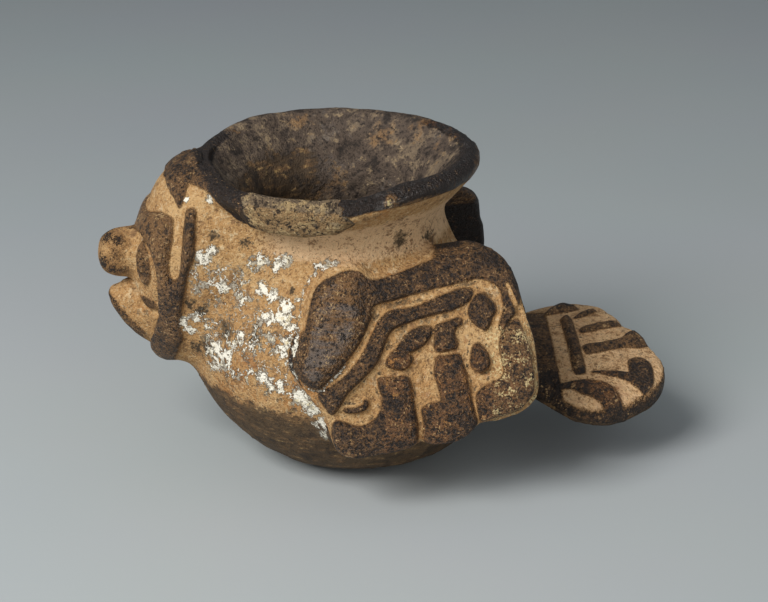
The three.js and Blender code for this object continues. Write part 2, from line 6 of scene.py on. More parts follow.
import bpy
import numpy as np
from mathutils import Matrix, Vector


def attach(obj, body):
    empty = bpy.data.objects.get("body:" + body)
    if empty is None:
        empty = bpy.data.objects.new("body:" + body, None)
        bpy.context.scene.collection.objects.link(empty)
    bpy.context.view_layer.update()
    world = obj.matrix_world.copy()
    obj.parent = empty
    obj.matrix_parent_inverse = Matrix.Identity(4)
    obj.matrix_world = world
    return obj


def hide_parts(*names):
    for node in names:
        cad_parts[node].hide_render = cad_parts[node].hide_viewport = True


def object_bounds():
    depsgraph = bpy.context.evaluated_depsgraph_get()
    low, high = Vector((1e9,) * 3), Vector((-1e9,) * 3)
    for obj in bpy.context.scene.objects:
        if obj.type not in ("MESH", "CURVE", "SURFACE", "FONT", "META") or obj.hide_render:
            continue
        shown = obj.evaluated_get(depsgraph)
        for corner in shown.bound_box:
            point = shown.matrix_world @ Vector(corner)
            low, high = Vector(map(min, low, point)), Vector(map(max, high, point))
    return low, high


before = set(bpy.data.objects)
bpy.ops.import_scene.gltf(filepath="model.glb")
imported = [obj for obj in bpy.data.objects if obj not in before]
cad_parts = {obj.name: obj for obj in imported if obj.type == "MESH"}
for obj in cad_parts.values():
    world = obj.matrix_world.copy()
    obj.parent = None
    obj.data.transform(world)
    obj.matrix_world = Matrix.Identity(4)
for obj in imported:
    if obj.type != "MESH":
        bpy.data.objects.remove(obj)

import openvdb
from mathutils import Vector

solid_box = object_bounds()


# Jar wall
# The jar is a small bowl pressed in a mould, with two rings of wall and a flaring lip luted on
# it by hand. The clay is a low-fired brown earthenware, scraped inside and smoothed outside.
# CELL is the grid step of the meshes. The wall's section is a list of radii and heights.
CELL = 0.42
WALL = 5.3
AXIS_X = -1
LEAN = 2.4
FOOT_SHIFT = 3
SKIN = [
    (15, 0), (18.9, 1.3), (23.9, 3.9), (28.5, 8), (33.1, 14), (35.9, 20.5), (36.8, 26), (36.4, 32),
    (34.3, 38), (30.6, 44), (27.4, 49), (25.2, 54), (24.2, 58), (25.3, 62), (28.6, 66), (32.2, 70),
]
LIP_EDGE = [(32.8, 71.1), (32.9, 72.1), (32.3, 73.1), (30.9, 73.8), (29.3, 73.7), (28, 72.9)]
INSIDE = [
    (24.6, 69.5), (22.3, 66.9), (19.9, 63), (19, 58.9), (20.4, 51.7), (23.1, 45.8), (26.4, 40.6),
    (29.3, 36), (31, 32), (31.5, 26.2), (29.4, 18.3), (26.8, 14.3), (22.9, 9.9), (16.3, 6),
]
BELLY_RADIUS = 36.8
BOWL_TOP = 25.85
SHOULDER_TOP = 52.85
NECK_TOP = 68.15
JOINT_SLOPE = 3
JOINT_LAP = 0.6
JOINT_TUCK = 0.05
LIP_SAG = 3
SAG_DEGREES = (-150, -80, -5, 30)
UNEVENNESS = ((0.28, 11), (0.16, 4.5), (0.09, 1.9))
PIT_DEPTH = 0.55
PIT_SIZE = 1.5


def ease(value, start, end):
    """Smooth step from 0 at the start to 1 at the end"""
    t = np.clip((value - start) / (end - start), 0, 1)
    return t * t * (3 - 2 * t)


def through(points, count, closed=False):
    """Smooth line through its points"""
    p = np.array(points, float)
    if closed:
        p = np.vstack([p[-1], p, p[0], p[1]])
    else:
        p = np.vstack([2 * p[0] - p[1], p, 2 * p[-1] - p[-2]])
    t = np.linspace(0, len(p) - 3 - 1e-6, count)
    i = t.astype(int)
    f = (t - i)[:, None]
    a, b, c, d = p[i], p[i + 1], p[i + 2], p[i + 3]
    bend = 2 * a - 5 * b + 4 * c - d
    return 0.5 * (2 * b + (c - a) * f + bend * f**2 + (3 * b - a - 3 * c + d) * f**3)


def edge_distance(u, v, corners):
    """Distance from the edge of a flat outline, negative inside it"""
    best = np.full(np.broadcast(u, v).shape, 1e9)
    inside = np.zeros(best.shape, bool)
    for (a, b), (c, d) in zip(corners, np.roll(corners, -1, axis=0)):
        e, f = c - a, d - b
        along = np.clip(((u - a) * e + (v - b) * f) / (e * e + f * f + 1e-9), 0, 1)
        best = np.minimum(best, (u - a - along * e) ** 2 + (v - b - along * f) ** 2)
        if abs(f) > 1e-9:
            inside ^= ((b > v) != (d > v)) & (u < e * (v - b) / f + a)
    return np.where(inside, -1, 1) * np.sqrt(best)


def charted(area, draw, step=0.25):
    """Draws a flat chart once and gives a function that reads it"""
    low, high = area
    us = np.arange(low[0], high[0] + step, step)
    vs = np.arange(low[1], high[1] + step, step)
    table = draw(*np.meshgrid(us, vs, indexing="ij")).astype(np.float32)

    def read(u, v):
        i = np.clip((u - low[0]) / step, 0, len(us) - 1.001)
        j = np.clip((v - low[1]) / step, 0, len(vs) - 1.001)
        a, b = i.astype(int), j.astype(int)
        s, t = (i - a).astype(np.float32), (j - b).astype(np.float32)
        below = table[a, b] * (1 - s) + table[a + 1, b] * s
        above = table[a, b + 1] * (1 - s) + table[a + 1, b + 1] * s
        return below * (1 - t) + above * t

    return read


def lute(a, b, fillet):
    """Joins two forms with a fillet of clay worked into the corner"""
    corner = np.maximum(fillet - np.abs(a - b), 0) / fillet
    return np.minimum(a, b) - corner * corner * fillet / 4


def pare(a, b, edge):
    """Keeps what two forms share, with the edge between them rounded"""
    corner = np.maximum(edge - np.abs(a - b), 0) / edge
    return np.maximum(a, b) + corner * corner * edge / 4


skin_line = through(SKIN + LIP_EDGE + INSIDE, 260)
wall_outline = np.vstack([[0, 0], skin_line, [0, WALL]])
wall_chart = charted(((0, -4), (44, 80)), lambda r, z: edge_distance(r, z, wall_outline))
skin_heights = through([(z, r) for r, z in SKIN], 120)


def axis_x(z, outside=1):
    """The jar leans towards its head from the belly up, and its foot lies nearer the tail"""
    return AXIS_X + FOOT_SHIFT * outside * ease(z, 26, 0) - LEAN * ease(z, 26, 74)


def from_axis(x, y, z):
    """Distance from the axis. Only the outside of the wall follows the shifted foot."""
    skin = skin_radius(z)
    outside = ease(np.hypot(x - axis_x(z, 0), y), skin - WALL, skin)
    return np.hypot(x - axis_x(z, outside), y)


def around_degrees(x, y, z):
    """Degrees round the jar from its left side, with the head at -90 and the tail at 90"""
    return np.degrees(np.arctan2(x - axis_x(z), -y))


def unsagged(x, y, z):
    """Height before the lip sank over the head and the left side"""
    degrees = around_degrees(x, y, z)
    starts, full, fades, ends = SAG_DEGREES
    sunk = LIP_SAG * ease(degrees, starts, full) * ease(degrees, ends, fades)
    was = z
    for _ in range(3):
        was = z + sunk * ease(was, 58, 71)
    return was


def skin_radius(z):
    return np.interp(z, skin_heights[:, 0], skin_heights[:, 1])


def wall_form(x, y, z):
    return wall_chart(from_axis(x, y, z), unsagged(x, y, z))


def outside_wall(x, y, z):
    """Negative outside the middle of the wall, where the luted pieces end"""
    middle = skin_radius(np.minimum(z, 69)) - WALL / 2
    return np.minimum(middle, 29.8) - from_axis(x, y, z)


lattice = np.random.default_rng(11).random((48, 48, 48)).astype(np.float32) * 2 - 1


def lumps(p, size):
    """Random unevenness between -1 and 1 with lumps of a size in mm"""
    q = p / size
    i = np.floor(q).astype(int)
    f = (q - i).astype(np.float32)
    f = f * f * (3 - 2 * f)
    i %= 48
    j = (i + 1) % 48
    total = 0
    for a, wa in ((i[:, 0], 1 - f[:, 0]), (j[:, 0], f[:, 0])):
        for b, wb in ((i[:, 1], 1 - f[:, 1]), (j[:, 1], f[:, 1])):
            for c, wc in ((i[:, 2], 1 - f[:, 2]), (j[:, 2], f[:, 2])):
                total = total + lattice[a, b, c] * wa * wb * wc
    return total


def placed(name, data):
    thing = bpy.data.objects.new(name, data)
    bpy.context.scene.collection.objects.link(thing)
    return thing


def shaped(name, low, high, form):
    """Meshes a form inside a box, with the unevenness of clay worked by hand"""
    first = np.floor((np.array(low) - 2) / CELL)
    last = np.ceil((np.array(high) + 2) / CELL)
    xs, ys, zs = (np.arange(a, b + 1) * CELL for a, b in zip(first, last))
    field = form(xs[:, None, None], ys[None, :, None], zs[None, None, :])
    grid = openvdb.FloatGrid(3.0)
    grid.copyFromArray(np.clip(field / CELL, -3, 3).astype(np.float32))
    points, quads = grid.convertToQuads(isovalue=0.0)
    points = (points + first) * CELL
    mesh = bpy.data.meshes.new(name)
    mesh.vertices.add(len(points))
    mesh.vertices.foreach_set("co", (points / 1000).ravel())
    mesh.loops.add(quads.size)
    mesh.loops.foreach_set("vertex_index", quads[:, ::-1].ravel().astype(np.int32))
    mesh.polygons.add(len(quads))
    mesh.polygons.foreach_set("loop_start", np.arange(0, quads.size, 4, dtype=np.int32))
    mesh.update(calc_edges=True)
    normals = np.empty(len(points) * 3)
    mesh.vertex_normals.foreach_get("vector", normals)
    normals = normals.reshape(-1, 3)
    rise = sum(height * lumps(points, size) for height, size in UNEVENNESS)
    pits = np.maximum(lumps(points + 50, PIT_SIZE) - 0.62, 0)
    points = points + normals * (rise - PIT_DEPTH * pits)[:, None]
    box = np.array(solid_box) * 1000
    points = np.clip(points, box[0], box[1])
    mesh.vertices.foreach_set("co", (points / 1000).ravel())
    mesh.update()
    mesh.shade_smooth()
    return placed(name, mesh)


pieces = []


def stands_for(piece, node, slot):
    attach(piece, "root")
    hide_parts(node)
    pieces.append((piece, slot))


def from_joint(x, y, z):
    """Height over a joint of the wall, which slopes down towards the inside"""
    return z + JOINT_SLOPE * ease(skin_radius(np.minimum(z, 72)) - from_axis(x, y, z), 0, WALL)


def lapped(form, reach):
    """Ends a form where the reach is over 0, with a lap that dips under its neighbour's skin"""
    return np.maximum(form + JOINT_TUCK * ease(reach, -0.3, 0.3), reach - JOINT_LAP)


def ring(bottom, top):
    def form(x, y, z):
        height = from_joint(x, y, z)
        return lapped(wall_form(x, y, z), np.maximum(height - top, bottom - height))
    return form


bowl = shaped("clay_bowl", (-38, -37, 0), (36, 37, 27), ring(-np.inf, BOWL_TOP))
stands_for(bowl, "base_bowl", "worn_slip")
shoulder = shaped("clay_shoulder", (-39, -37, 22), (36, 37, 54), ring(BOWL_TOP, SHOULDER_TOP))
stands_for(shoulder, "shoulder_wall", "bare_clay")
neck = shaped("clay_neck", (-35, -32, 47), (29, 32, 70), ring(SHOULDER_TOP, NECK_TOP))
stands_for(neck, "neck", "bare_clay")


# Lip with its roll
# The lip is a coil pinched out to a flaring edge and burnished under a dark slip. A thick roll
# was pressed on under its front left and left rough, with no slip on it.
ROLL_ENDS = (-53, 6)
ROLL_RING = 30.4
ROLL_HALF = (2.4, 4.1)
ROLL_LINE = ((-54, -34, -18, -4, 6), (67.6, 67, 67, 68, 69.4))


def roll_form(x, y, z):
    degrees = around_degrees(x, y, z)
    to_end = np.minimum((ROLL_ENDS[1] - degrees) / 12, (degrees - ROLL_ENDS[0]) / 10)
    end = np.clip(to_end, 0.02, 1) ** 0.6
    middle = np.interp(degrees, *ROLL_LINE)
    out = (from_axis(x, y, z) - ROLL_RING) / (ROLL_HALF[0] * end)
    up = (z - middle) / (ROLL_HALF[1] * end)
    size = np.hypot(out, up)
    slope = np.hypot(out / ROLL_HALF[0], up / ROLL_HALF[1]) + 1e-6
    past_ends = np.maximum(degrees - ROLL_ENDS[1], ROLL_ENDS[0] - degrees) * 0.5
    return np.maximum((size - 1) * size / slope, past_ends)


def lip_form(x, y, z):
    return lute(wall_form(x, y, z), roll_form(x, y, z), 1.2)


def lip_ring(x, y, z):
    under = NECK_TOP - from_joint(x, y, z)
    return lapped(lip_form(x, y, z), np.minimum(under, roll_form(x, y, z) - 1))


lip = shaped("lip_coil_and_roll", (-37, -34, 62), (31, 34, 75), lip_ring)
stands_for(lip, "lip_coil", "dark_slip")


# Head
# The head is a hollow-backed lump of clay worked on to the shoulder and the lip, with its joint
# smoothed away. Everything on the face was laid on it or pressed in while it was soft.
# Each level of the head has its height, reach and half width. Lines on the face are in mm round it
# from the beak, and in height.
HEAD_LEVELS = [
    (24, 10.9, 6.4), (27, 13.5, 9.9), (31, 15.4, 12.3), (36, 16.7, 14.1), (42, 17.6, 15.2),
    (48, 18, 16), (54, 17.4, 16), (58, 15.4, 15.7), (62, 13.3, 15), (66, 11.5, 13.6), (69, 9.3, 11.4),
    (71.6, 6, 8.5), (72.6, 3, 5),
]
HEAD_BACK = -33
HEAD_ROUND = 17
FACE_AREA = ((-4, 22), (44, 82))
CHEEK_CREASE = [
    (0.3, 43.8), (2.7, 43.4), (5.2, 42), (6.4, 40.6), (7.6, 39.6), (9.4, 38.8), (12.2, 38.9),
    (15, 39.4),
]
EYE_RIDGE = [(9.6, 56.4), (12, 54.6), (13.5, 51.6), (13.9, 47.9), (13.5, 43.4)]
head_line = through(HEAD_LEVELS, 200)


def head_reach(z):
    return np.interp(z, head_line[:, 0], head_line[:, 1])


def head_half(z):
    return np.interp(z, head_line[:, 0], head_line[:, 2])


def head_form(x, y, z):
    ahead, half = head_reach(z), head_half(z)
    forward, aside = (HEAD_BACK - x) / ahead, y / half
    size = np.hypot(forward, aside)
    front = (size - 1) * size / (np.hypot(forward / ahead, aside / half) + 1e-6)
    root = np.interp(x, [-33, -23, -13], [0, 3, 4.5])
    form = np.where(x < HEAD_BACK, front, np.abs(y) - half - root)
    form = pare(form, HEAD_LEVELS[0][0] - z, 3)
    form = pare(form, z - HEAD_LEVELS[-1][0], 2)
    return np.maximum(form, outside_wall(x, y, z))


def head_and_jar(x, y, z):
    return lute(lip_form(x, y, z), head_form(x, y, z), 3.5)


def laid_on(form, ground, reach, depth=0.8, lap=0.9):
    """A piece luted on its ground, with an edge that feathers out just under the ground's skin"""
    feathered = form - 0.03 + 0.11 * ease(reach, -0.2, 0.5)
    return np.maximum(np.maximum(feathered, -(ground + depth)), reach - lap)


def round_face(x, y, z):
    """Way round the head in mm from the beak, on the surface of the head"""
    angle = np.arctan2(np.abs(y) / head_half(z), np.maximum(HEAD_BACK - x, 0) / head_reach(z))
    return HEAD_ROUND * angle + np.maximum(x - HEAD_BACK, 0)


def stroke_distance(u, v, line, half):
    """Distance from a stroke of a half width along a line, negative in it"""
    best = 1e9
    for (a, b), (c, d) in zip(line[:-1], line[1:]):
        e, f = c - a, d - b
        along = np.clip(((u - a) * e + (v - b) * f) / (e * e + f * f), 0, 1)
        best = np.minimum(best, np.hypot(u - a - along * e, v - b - along * f))
    return best - half


crease = charted(FACE_AREA, lambda u, z: stroke_distance(u, z, CHEEK_CREASE, 0.2))
eye_ridge = charted(FACE_AREA, lambda u, z: stroke_distance(u, z, EYE_RIDGE, 0.3))


def face_form(x, y, z):
    """Head and jar with what is modelled in the face itself"""
    u = round_face(x, y, z)
    press = 0.9 * ease(crease(u, z), 1.1, -0.1) - 0.5 * ease(eye_ridge(u, z), 1.1, -0.2)
    return head_and_jar(x, y, z) + press * ease(head_form(x, y, z), 2, 0)


def head_piece(x, y, z):
    """The head on its own, ending in a feathered edge on the jar"""
    solid = laid_on(face_form(x, y, z), lip_form(x, y, z), head_form(x, y, z) - 3.2, 1.6)
    return np.maximum(solid, outside_wall(x, y, z))


head = shaped("head_core", (-52, -22, 21), (-12, 22, 76), head_piece)
stands_for(head, "head", "bare_clay")


# Brow band, nape straps and crown
# Flat strips of clay run from the root of the beak over the brow and down the nape, and end in a
# lappet under each cheek. A thin cap covers the crown. All of them keep their dark slip.
BAND_EDGE = [
    (-4, 61), (2.9, 61.2), (9.7, 62.4), (14.5, 62.5), (16, 60.8), (16.9, 57.8), (17.2, 53.5),
    (17.3, 50.5), (18.3, 48.6), (19.4, 48.9), (20.1, 50.6), (20.4, 53.5), (20.2, 57.2), (19.8, 60.3),
    (19.8, 64.4), (22.3, 65), (22.7, 61.9), (22.9, 57.4), (23.1, 55.2), (22.3, 52.2), (21.5, 48.8),
    (21, 45.8), (20.1, 41.1), (19.4, 37.2), (19.6, 33.5), (17, 29), (13, 25.4), (9, 25.6), (7.6, 28.4),
    (9.4, 31.4), (11.8, 34.4), (13.8, 38.4), (14.7, 42.7), (14.9, 45.7), (14.7, 49.2), (13.8, 52.4),
    (12.1, 54.9), (9.2, 56.4), (5.9, 57), (1.3, 56.6), (-4, 56.6),
]
CROWN_EDGE = [
    (-4, 70.6), (1, 70.2), (4.5, 69.2), (10.2, 67.9), (14.6, 66.4), (17, 64.9), (17.8, 66),
    (18.1, 67.6), (18, 69.2), (17.6, 70.8), (17.4, 72), (22, 73), (34, 73.4), (34, 84), (-4, 84),
]
BAND_HEIGHT = 1.9
CROWN_HEIGHT = 1.1
STRAP_TOP = 47.4
STRAP_FRONT = 17.8
HANDS = (("left", -1), ("right", 1))


def chart_of(corners, count, area, step=0.25):
    """Chart of the distance from a smooth outline"""
    line = through(corners, count, closed=True)
    return charted(area, lambda u, v: edge_distance(u, v, line), step)


def beside(hand, inner, outer):
    """Ends of a box on one side of the bird. The forms are the same on both sides."""
    return sorted((hand * inner, hand * outer))


band_edge = chart_of(BAND_EDGE, 240, FACE_AREA)
crown_edge = charted(FACE_AREA, lambda u, z: edge_distance(u, z, np.array(CROWN_EDGE)))


def pillow(distance, height, swell=0.2, reach=2.4):
    """Height of a strip with soft edges over the distance from its edge"""
    return height * ((1 - swell) * ease(distance, 0.55, -0.75) + swell * ease(distance, 0, -reach))


def banded(x, y, z):
    """The face with the bands laid on it, thinnest over the beak"""
    u = round_face(x, y, z)
    height = BAND_HEIGHT * (0.5 + 0.5 * ease(u, 2, 9)) * ease(head_form(x, y, z), 3.6, 2.2)
    return face_form(x, y, z) - pillow(band_edge(u, z), 1) * height


def brow_piece(x, y, z, sign=1):
    """The bands on one side of the joint between brow and straps"""
    u = round_face(x, y, z)
    side = sign * np.maximum(u - STRAP_FRONT, STRAP_TOP - z)
    reach = np.maximum(band_edge(u, z) - 0.5, side)
    form = banded(x, y, z) + JOINT_TUCK * ease(side, -0.3, 0.3)
    return laid_on(form, face_form(x, y, z), reach)


def strap_piece(x, y, z):
    return np.maximum(brow_piece(x, y, z, -1), head_form(x, y, z) - 3.4)


def crowned(x, y, z):
    """Head and jar with the cap laid on, which fades out behind the head"""
    u = round_face(x, y, z)
    share = ease(from_axis(x, y, z), 29, 33) * (1 - ease(u, 15, 24))
    return head_and_jar(x, y, z) - pillow(crown_edge(u, z), CROWN_HEIGHT) * share


def crown_piece(x, y, z):
    u = round_face(x, y, z)
    reach = np.maximum(crown_edge(u, z) - 0.5, head_form(x, y, z) - 2.6)
    solid = laid_on(crowned(x, y, z), head_and_jar(x, y, z), reach)
    return np.maximum(solid, 30.2 - from_axis(x, y, z))


brow = shaped("brow_band_clay", (-53, -17, 45), (-38, 17, 64), brow_piece)
stands_for(brow, "brow_band", "dark_slip")
for side, hand in HANDS:
    low, high = beside(hand, 4, 18.5)
    strap = shaped(f"nape_strap_{side}_clay", (-50, low, 24), (-33, high, 67), strap_piece)
    stands_for(strap, f"nape_strap_{side}", "dark_slip")
crown = shaped("crown_cap", (-47, -16, 63), (-30, 16, 76), crown_piece)
stands_for(crown, "crown", "dark_slip")


# Eyes
# Each eye is an almond pellet of clay pressed on to the cheek. The outline of its pupil was drawn
# with a point while the clay was soft.
EYE_EDGE = [
    (8, 55.2), (7.6, 53), (7.8, 50.5), (8.8, 47.6), (10.4, 45.9), (11.8, 46.6), (12.5, 49.2), (12, 52),
    (10.8, 54.2), (9.2, 56),
]
PUPIL_EDGE = [(9.2, 53), (9.2, 50.6), (10.2, 48.2), (11.1, 48.9), (11, 51.4), (10.2, 53.2)]
EYE_HEIGHT = 1.5
PUPIL_GROOVE = 0.7
eye_edge = chart_of(EYE_EDGE, 80, FACE_AREA, 0.2)
pupil_edge = chart_of(PUPIL_EDGE, 60, FACE_AREA, 0.2)


def eyed(x, y, z):
    """The face with the eyes on it"""
    u = round_face(x, y, z)
    drawn = PUPIL_GROOVE * ease(np.abs(pupil_edge(u, z)), 0.6, 0.1)
    return face_form(x, y, z) - pillow(eye_edge(u, z), EYE_HEIGHT) + drawn


def eye_piece(x, y, z):
    reach = eye_edge(round_face(x, y, z), z) - 0.5
    return laid_on(eyed(x, y, z), face_form(x, y, z), reach)


for side, hand in HANDS:
    low, high = beside(hand, 3.5, 12.5)
    eye = shaped(f"eye_{side}_pellet", (-53, low, 44), (-44, high, 58), eye_piece)
    stands_for(eye, f"eye_{side}", "dark_slip")


# Beaks
# Two stubby beaks of clay stand open, each pinched to shape and pressed on to the face. The
# upper one is blunt and hooks down a little over the gap.
# Each station of a beak has its place along it, its middle height, half height and half width.
UPPER_BEAK = [
    (-46, 50.6, 6, 6), (-51, 50.5, 5.8, 5.6), (-54.1, 50.4, 5.5, 5.2), (-56.2, 50.3, 4.6, 4.5),
    (-57.7, 50.1, 3.2, 3.3), (-58.4, 49.9, 1.6, 1.7),
]
LOWER_BEAK = [
    (-45, 35.5, 7, 6.2), (-49, 36.6, 7.4, 5.8), (-52, 38, 5.8, 5), (-54, 38.9, 3.8, 4),
    (-55.8, 40, 2, 2.4), (-56.5, 40.5, 0.8, 1),
]


def beak_form(stations):
    """Runs ovals along a beak and rounds its tip"""
    line = through(stations, 80)[::-1]

    def form(x, y, z):
        middle, tall, wide = (np.interp(x, line[:, 0], line[:, i]) for i in (1, 2, 3))
        up, aside = (z - middle) / tall, y / wide
        size = np.hypot(up, aside)
        side = (size - 1) * size / (np.hypot(up / tall, aside / wide) + 1e-6)
        return pare(pare(side, stations[-1][0] - x, 1.4), x - stations[0][0], 0.5)
    return form


upper_beak_form = beak_form(UPPER_BEAK)
lower_beak_form = beak_form(LOWER_BEAK)


def beak_piece(own):
    def form(x, y, z):
        face = face_form(x, y, z)
        return laid_on(lute(face, own(x, y, z), 1.6), face, own(x, y, z) - 1.4)
    return form


for node, low, high, own in (
    ("upper_beak", (-59, -8, 42), (-44, 8, 59), upper_beak_form),
    ("lower_beak", (-58, -8, 27), (-43, 8, 46), lower_beak_form),
):
    stands_for(shaped(f"{node}_clay", low, high, beak_piece(own)), node, "bare_clay")


# Wings
# Each wing is a curved plate pressed in a mould that gave it its feathers in relief. The front
# half is luted to the shoulder on a deep root and the rear half stands free of the jar. The
# mould's outlines are seen from the bird's left, along x and z.
WING_EDGE = [
    (-5.7, 55), (-11.4, 51.2), (-14.4, 42), (-16.4, 35), (-14.4, 31.4), (-9.4, 25), (-8.2, 18.4),
    (-6.3, 15.4), (-2, 14.6), (4, 15.8), (9.7, 17.4), (11.6, 18.2), (13.6, 17.7), (17.5, 18.2),
    (21, 19.6), (24.2, 22.3), (28.4, 23), (33.6, 25), (36.8, 28.4), (37.4, 33), (36.9, 39.6),
    (35.4, 45), (34, 50.4), (31.6, 54), (27.6, 56), (22.6, 56.8), (14, 55.2), (8, 53.6), (2, 53.2),
    (-1, 55.2),
]
LOBE = [
    (-11.2, 30.6), (-14.2, 31.8), (-16, 33.9), (-16, 35.9), (-14.6, 39.9), (-13.9, 43.7), (-13, 47.9),
    (-11.1, 51.4), (-8.4, 53.8), (-5.8, 55), (-2.7, 55.2), (-0.3, 54.4), (2.1, 52.7), (5.7, 52.8),
    (9.5, 53.4), (11.9, 54.6), (15.2, 55.5), (18.8, 56), (21.9, 56.1), (25.8, 55.6), (29.2, 54.9),
    (32.2, 52.9), (33.7, 50.7), (34.2, 47.9), (33.2, 45.7), (31.5, 43.9), (30.1, 42), (29.2, 42.4),
    (29.8, 44.2), (30.6, 45.7), (30.4, 47.5), (30.3, 48.9), (29.4, 50.3), (27.3, 51.2), (25.2, 51.4),
    (22.5, 51), (19.3, 50.3), (16.2, 49.8), (13, 49.1), (9.9, 48.4), (6.3, 47.6), (3.5, 47.3),
    (1.7, 46.7), (1.1, 44.7), (-0.4, 42.1), (-1.9, 39.9), (-4.2, 37.5), (-6.5, 34.8), (-9, 32.3),
]
SECOND_RIDGE = [
    (-11, 29.6), (-8.3, 31), (-5.2, 33.5), (-2.5, 36.2), (-0.6, 38.6), (1.3, 41.4), (2.8, 43.6),
    (4.7, 45.1), (7, 45.6), (10.6, 46), (14.1, 46.9), (17.3, 48.2), (20.1, 49.1), (22.3, 49.4),
    (23.8, 49.1), (23.7, 48.2), (22, 46.8), (19.7, 45.9), (17.5, 45.3), (14.8, 44.8), (12.1, 44.2),
    (9.5, 43.5), (7.2, 42.8), (5.6, 42.1), (4.4, 40.7), (3.3, 38.5), (1.9, 36.2), (0, 34.3),
    (-2.2, 32.3), (-4.5, 30.1), (-6, 27.8), (-7.1, 26.1), (-8.3, 25.1), (-9.8, 26.9),
]
COVERTS = [
    [(6.4, 38.5), (8.4, 40.5), (10.2, 42), (12.9, 42.4), (14.4, 42.2), (14.1, 40.9), (12.6, 39.3),
     (10.8, 38.4), (9.1, 37.9), (7.5, 38.3)],
    [(3.9, 36.1), (5.1, 37.6), (6.4, 38.3), (8.6, 37.8), (9.6, 36.6), (8.9, 35.2), (7.6, 34.5),
     (5.6, 34.8), (4.3, 35.3)],
    [(15.3, 42.4), (17.3, 43.1), (19.5, 43.9), (20.8, 43.9), (21, 43.1), (19.9, 42.6), (19.3, 41.6),
     (19.5, 40.1), (19.6, 38.8), (17.8, 38.2), (15.8, 37.9), (14.8, 38.6), (15, 40.5)],
    [(23.6, 47.1), (24.8, 48.4), (26.6, 48.5), (27.1, 47.9), (28.4, 46.8), (28.6, 45.5), (27.7, 44.4),
     (27.2, 43.1), (26.2, 42), (24.7, 42.6), (23.2, 43.9), (22.7, 45.3)],
    [(22.7, 37.4), (23.3, 38.9), (24.6, 39.2), (26, 37.8), (26.6, 35.9), (25.8, 34.5), (24.1, 34),
     (22.6, 35.4)],
]
FEATHERS = [
    [(2.4, 32.9), (5.3, 32.6), (7.9, 33.1), (9, 31.8), (9.5, 28.5), (10, 25.1), (10.4, 21.6),
     (9.9, 18.2), (7.5, 16.9), (4, 16.2), (0.5, 15.5), (-2.2, 14.9), (-5.7, 15.4), (-7.6, 17.5),
     (-8.2, 20.7), (-7.7, 23.6), (-5.5, 23.2), (-3.3, 22.5), (-1.2, 22.5), (1.1, 23.8), (2.4, 26),
     (2.9, 28.6), (2.3, 30.8)],
    [(15.1, 36.6), (17.7, 37), (19.9, 37.2), (20.7, 35.4), (21.4, 32.6), (21.9, 29.4), (22.7, 26),
     (23.3, 22.6), (20.6, 19.8), (17.5, 18.6), (13.6, 18.2), (11.7, 19.4), (11.9, 22.9), (11.5, 26),
     (13.1, 27.2), (15.6, 28.1), (15.2, 31), (14.5, 33.8)],
    [(29.8, 41.3), (32.6, 43.8), (34.4, 43.1), (35.7, 40.3), (36.3, 36.7), (36.4, 32.7), (35.7, 29.4),
     (33.5, 26.6), (30.7, 25.4), (26.8, 24.2), (24.4, 23.6), (23.6, 26.8), (23.7, 29.8), (26.1, 31.6),
     (28.8, 32.7), (29.7, 34.3), (29.4, 36.6), (29, 39)],
    [(-5.4, 26.3), (-3.2, 26.6), (-1.5, 27.2), (-0.9, 28.4), (-0.4, 27.8), (-0.8, 26.4), (-2.8, 25.6),
     (-5.2, 25.6)],
]
WING_SLIT = [(11.5, 35), (12.3, 33.4), (12.4, 31.8)]
WING_LINE = [(31.6, 50.5), (33.9, 44.6), (35.8, 39.4), (36.6, 34), (36.4, 29.6), (34, 26.6)]
WING_ARC = 59
WING_STANDOFF = 4.7
WING_SPLAY = 0.12
WING_PROUD = 1.8
WING_THICKNESS = 5.2
WING_ROOT = 6
WING_RELIEF = 2.2
WING_AREA = ((-24, 8), (46, 64))
GROUND_PRESS = 0.4


def wing_face_height(x, z):
    """How far the face of the wing lies from the middle plane of the bird"""
    rise = np.clip(z - 10, -WING_ARC, WING_ARC)
    arc = np.sqrt(WING_ARC**2 - rise**2) - WING_ARC
    mould = BELLY_RADIUS + WING_STANDOFF + arc + WING_SPLAY * x
    room = np.maximum(skin_radius(z) ** 2 - (x - axis_x(z)) ** 2, 0)
    wall = np.where(room > 0, np.sqrt(room) + WING_PROUD, 0)
    return pare(mould, wall, 2)


def nearest_edge(u, v, shapes, steps):
    """Distance from the nearest of several smooth outlines"""
    lines = [through(shape, len(shape) * steps, closed=True) for shape in shapes]
    return np.minimum.reduce([edge_distance(u, v, line) for line in lines])


raised_shapes = [LOBE, SECOND_RIDGE] + COVERTS + FEATHERS
wing_face = charted(WING_AREA, wing_face_height)
wing_edge = chart_of(WING_EDGE, 160, WING_AREA)
wing_raised = charted(WING_AREA, lambda x, z: nearest_edge(x, z, raised_shapes, 4))
lobe_edge = chart_of(LOBE, 200, WING_AREA)
wing_slit = charted(WING_AREA, lambda x, z: stroke_distance(x, z, WING_SLIT, 0.2))
wing_line = charted(WING_AREA, lambda x, z: stroke_distance(x, z, WING_LINE, 0.15))


def wing_relief(x, z):
    """Height of the ridges over the plate, with the lobe swelling and the ground pressed back"""
    swell = 0.9 * ease(lobe_edge(x, z), 0, -4.5) * ease(x, 4, -4)
    pressed = 0.8 * ease(wing_slit(x, z), 0.8, 0) + 0.6 * ease(wing_line(x, z), 0.6, 0)
    pressed = pressed + GROUND_PRESS * ease(wing_raised(x, z), 0, 1.2) * ease(wing_edge(x, z), 0, -1.5)
    return pillow(wing_raised(x, z), WING_RELIEF, 0.4, 4) + swell - pressed


wing_top = charted(WING_AREA, lambda x, z: wing_face(x, z) + wing_relief(x, z))


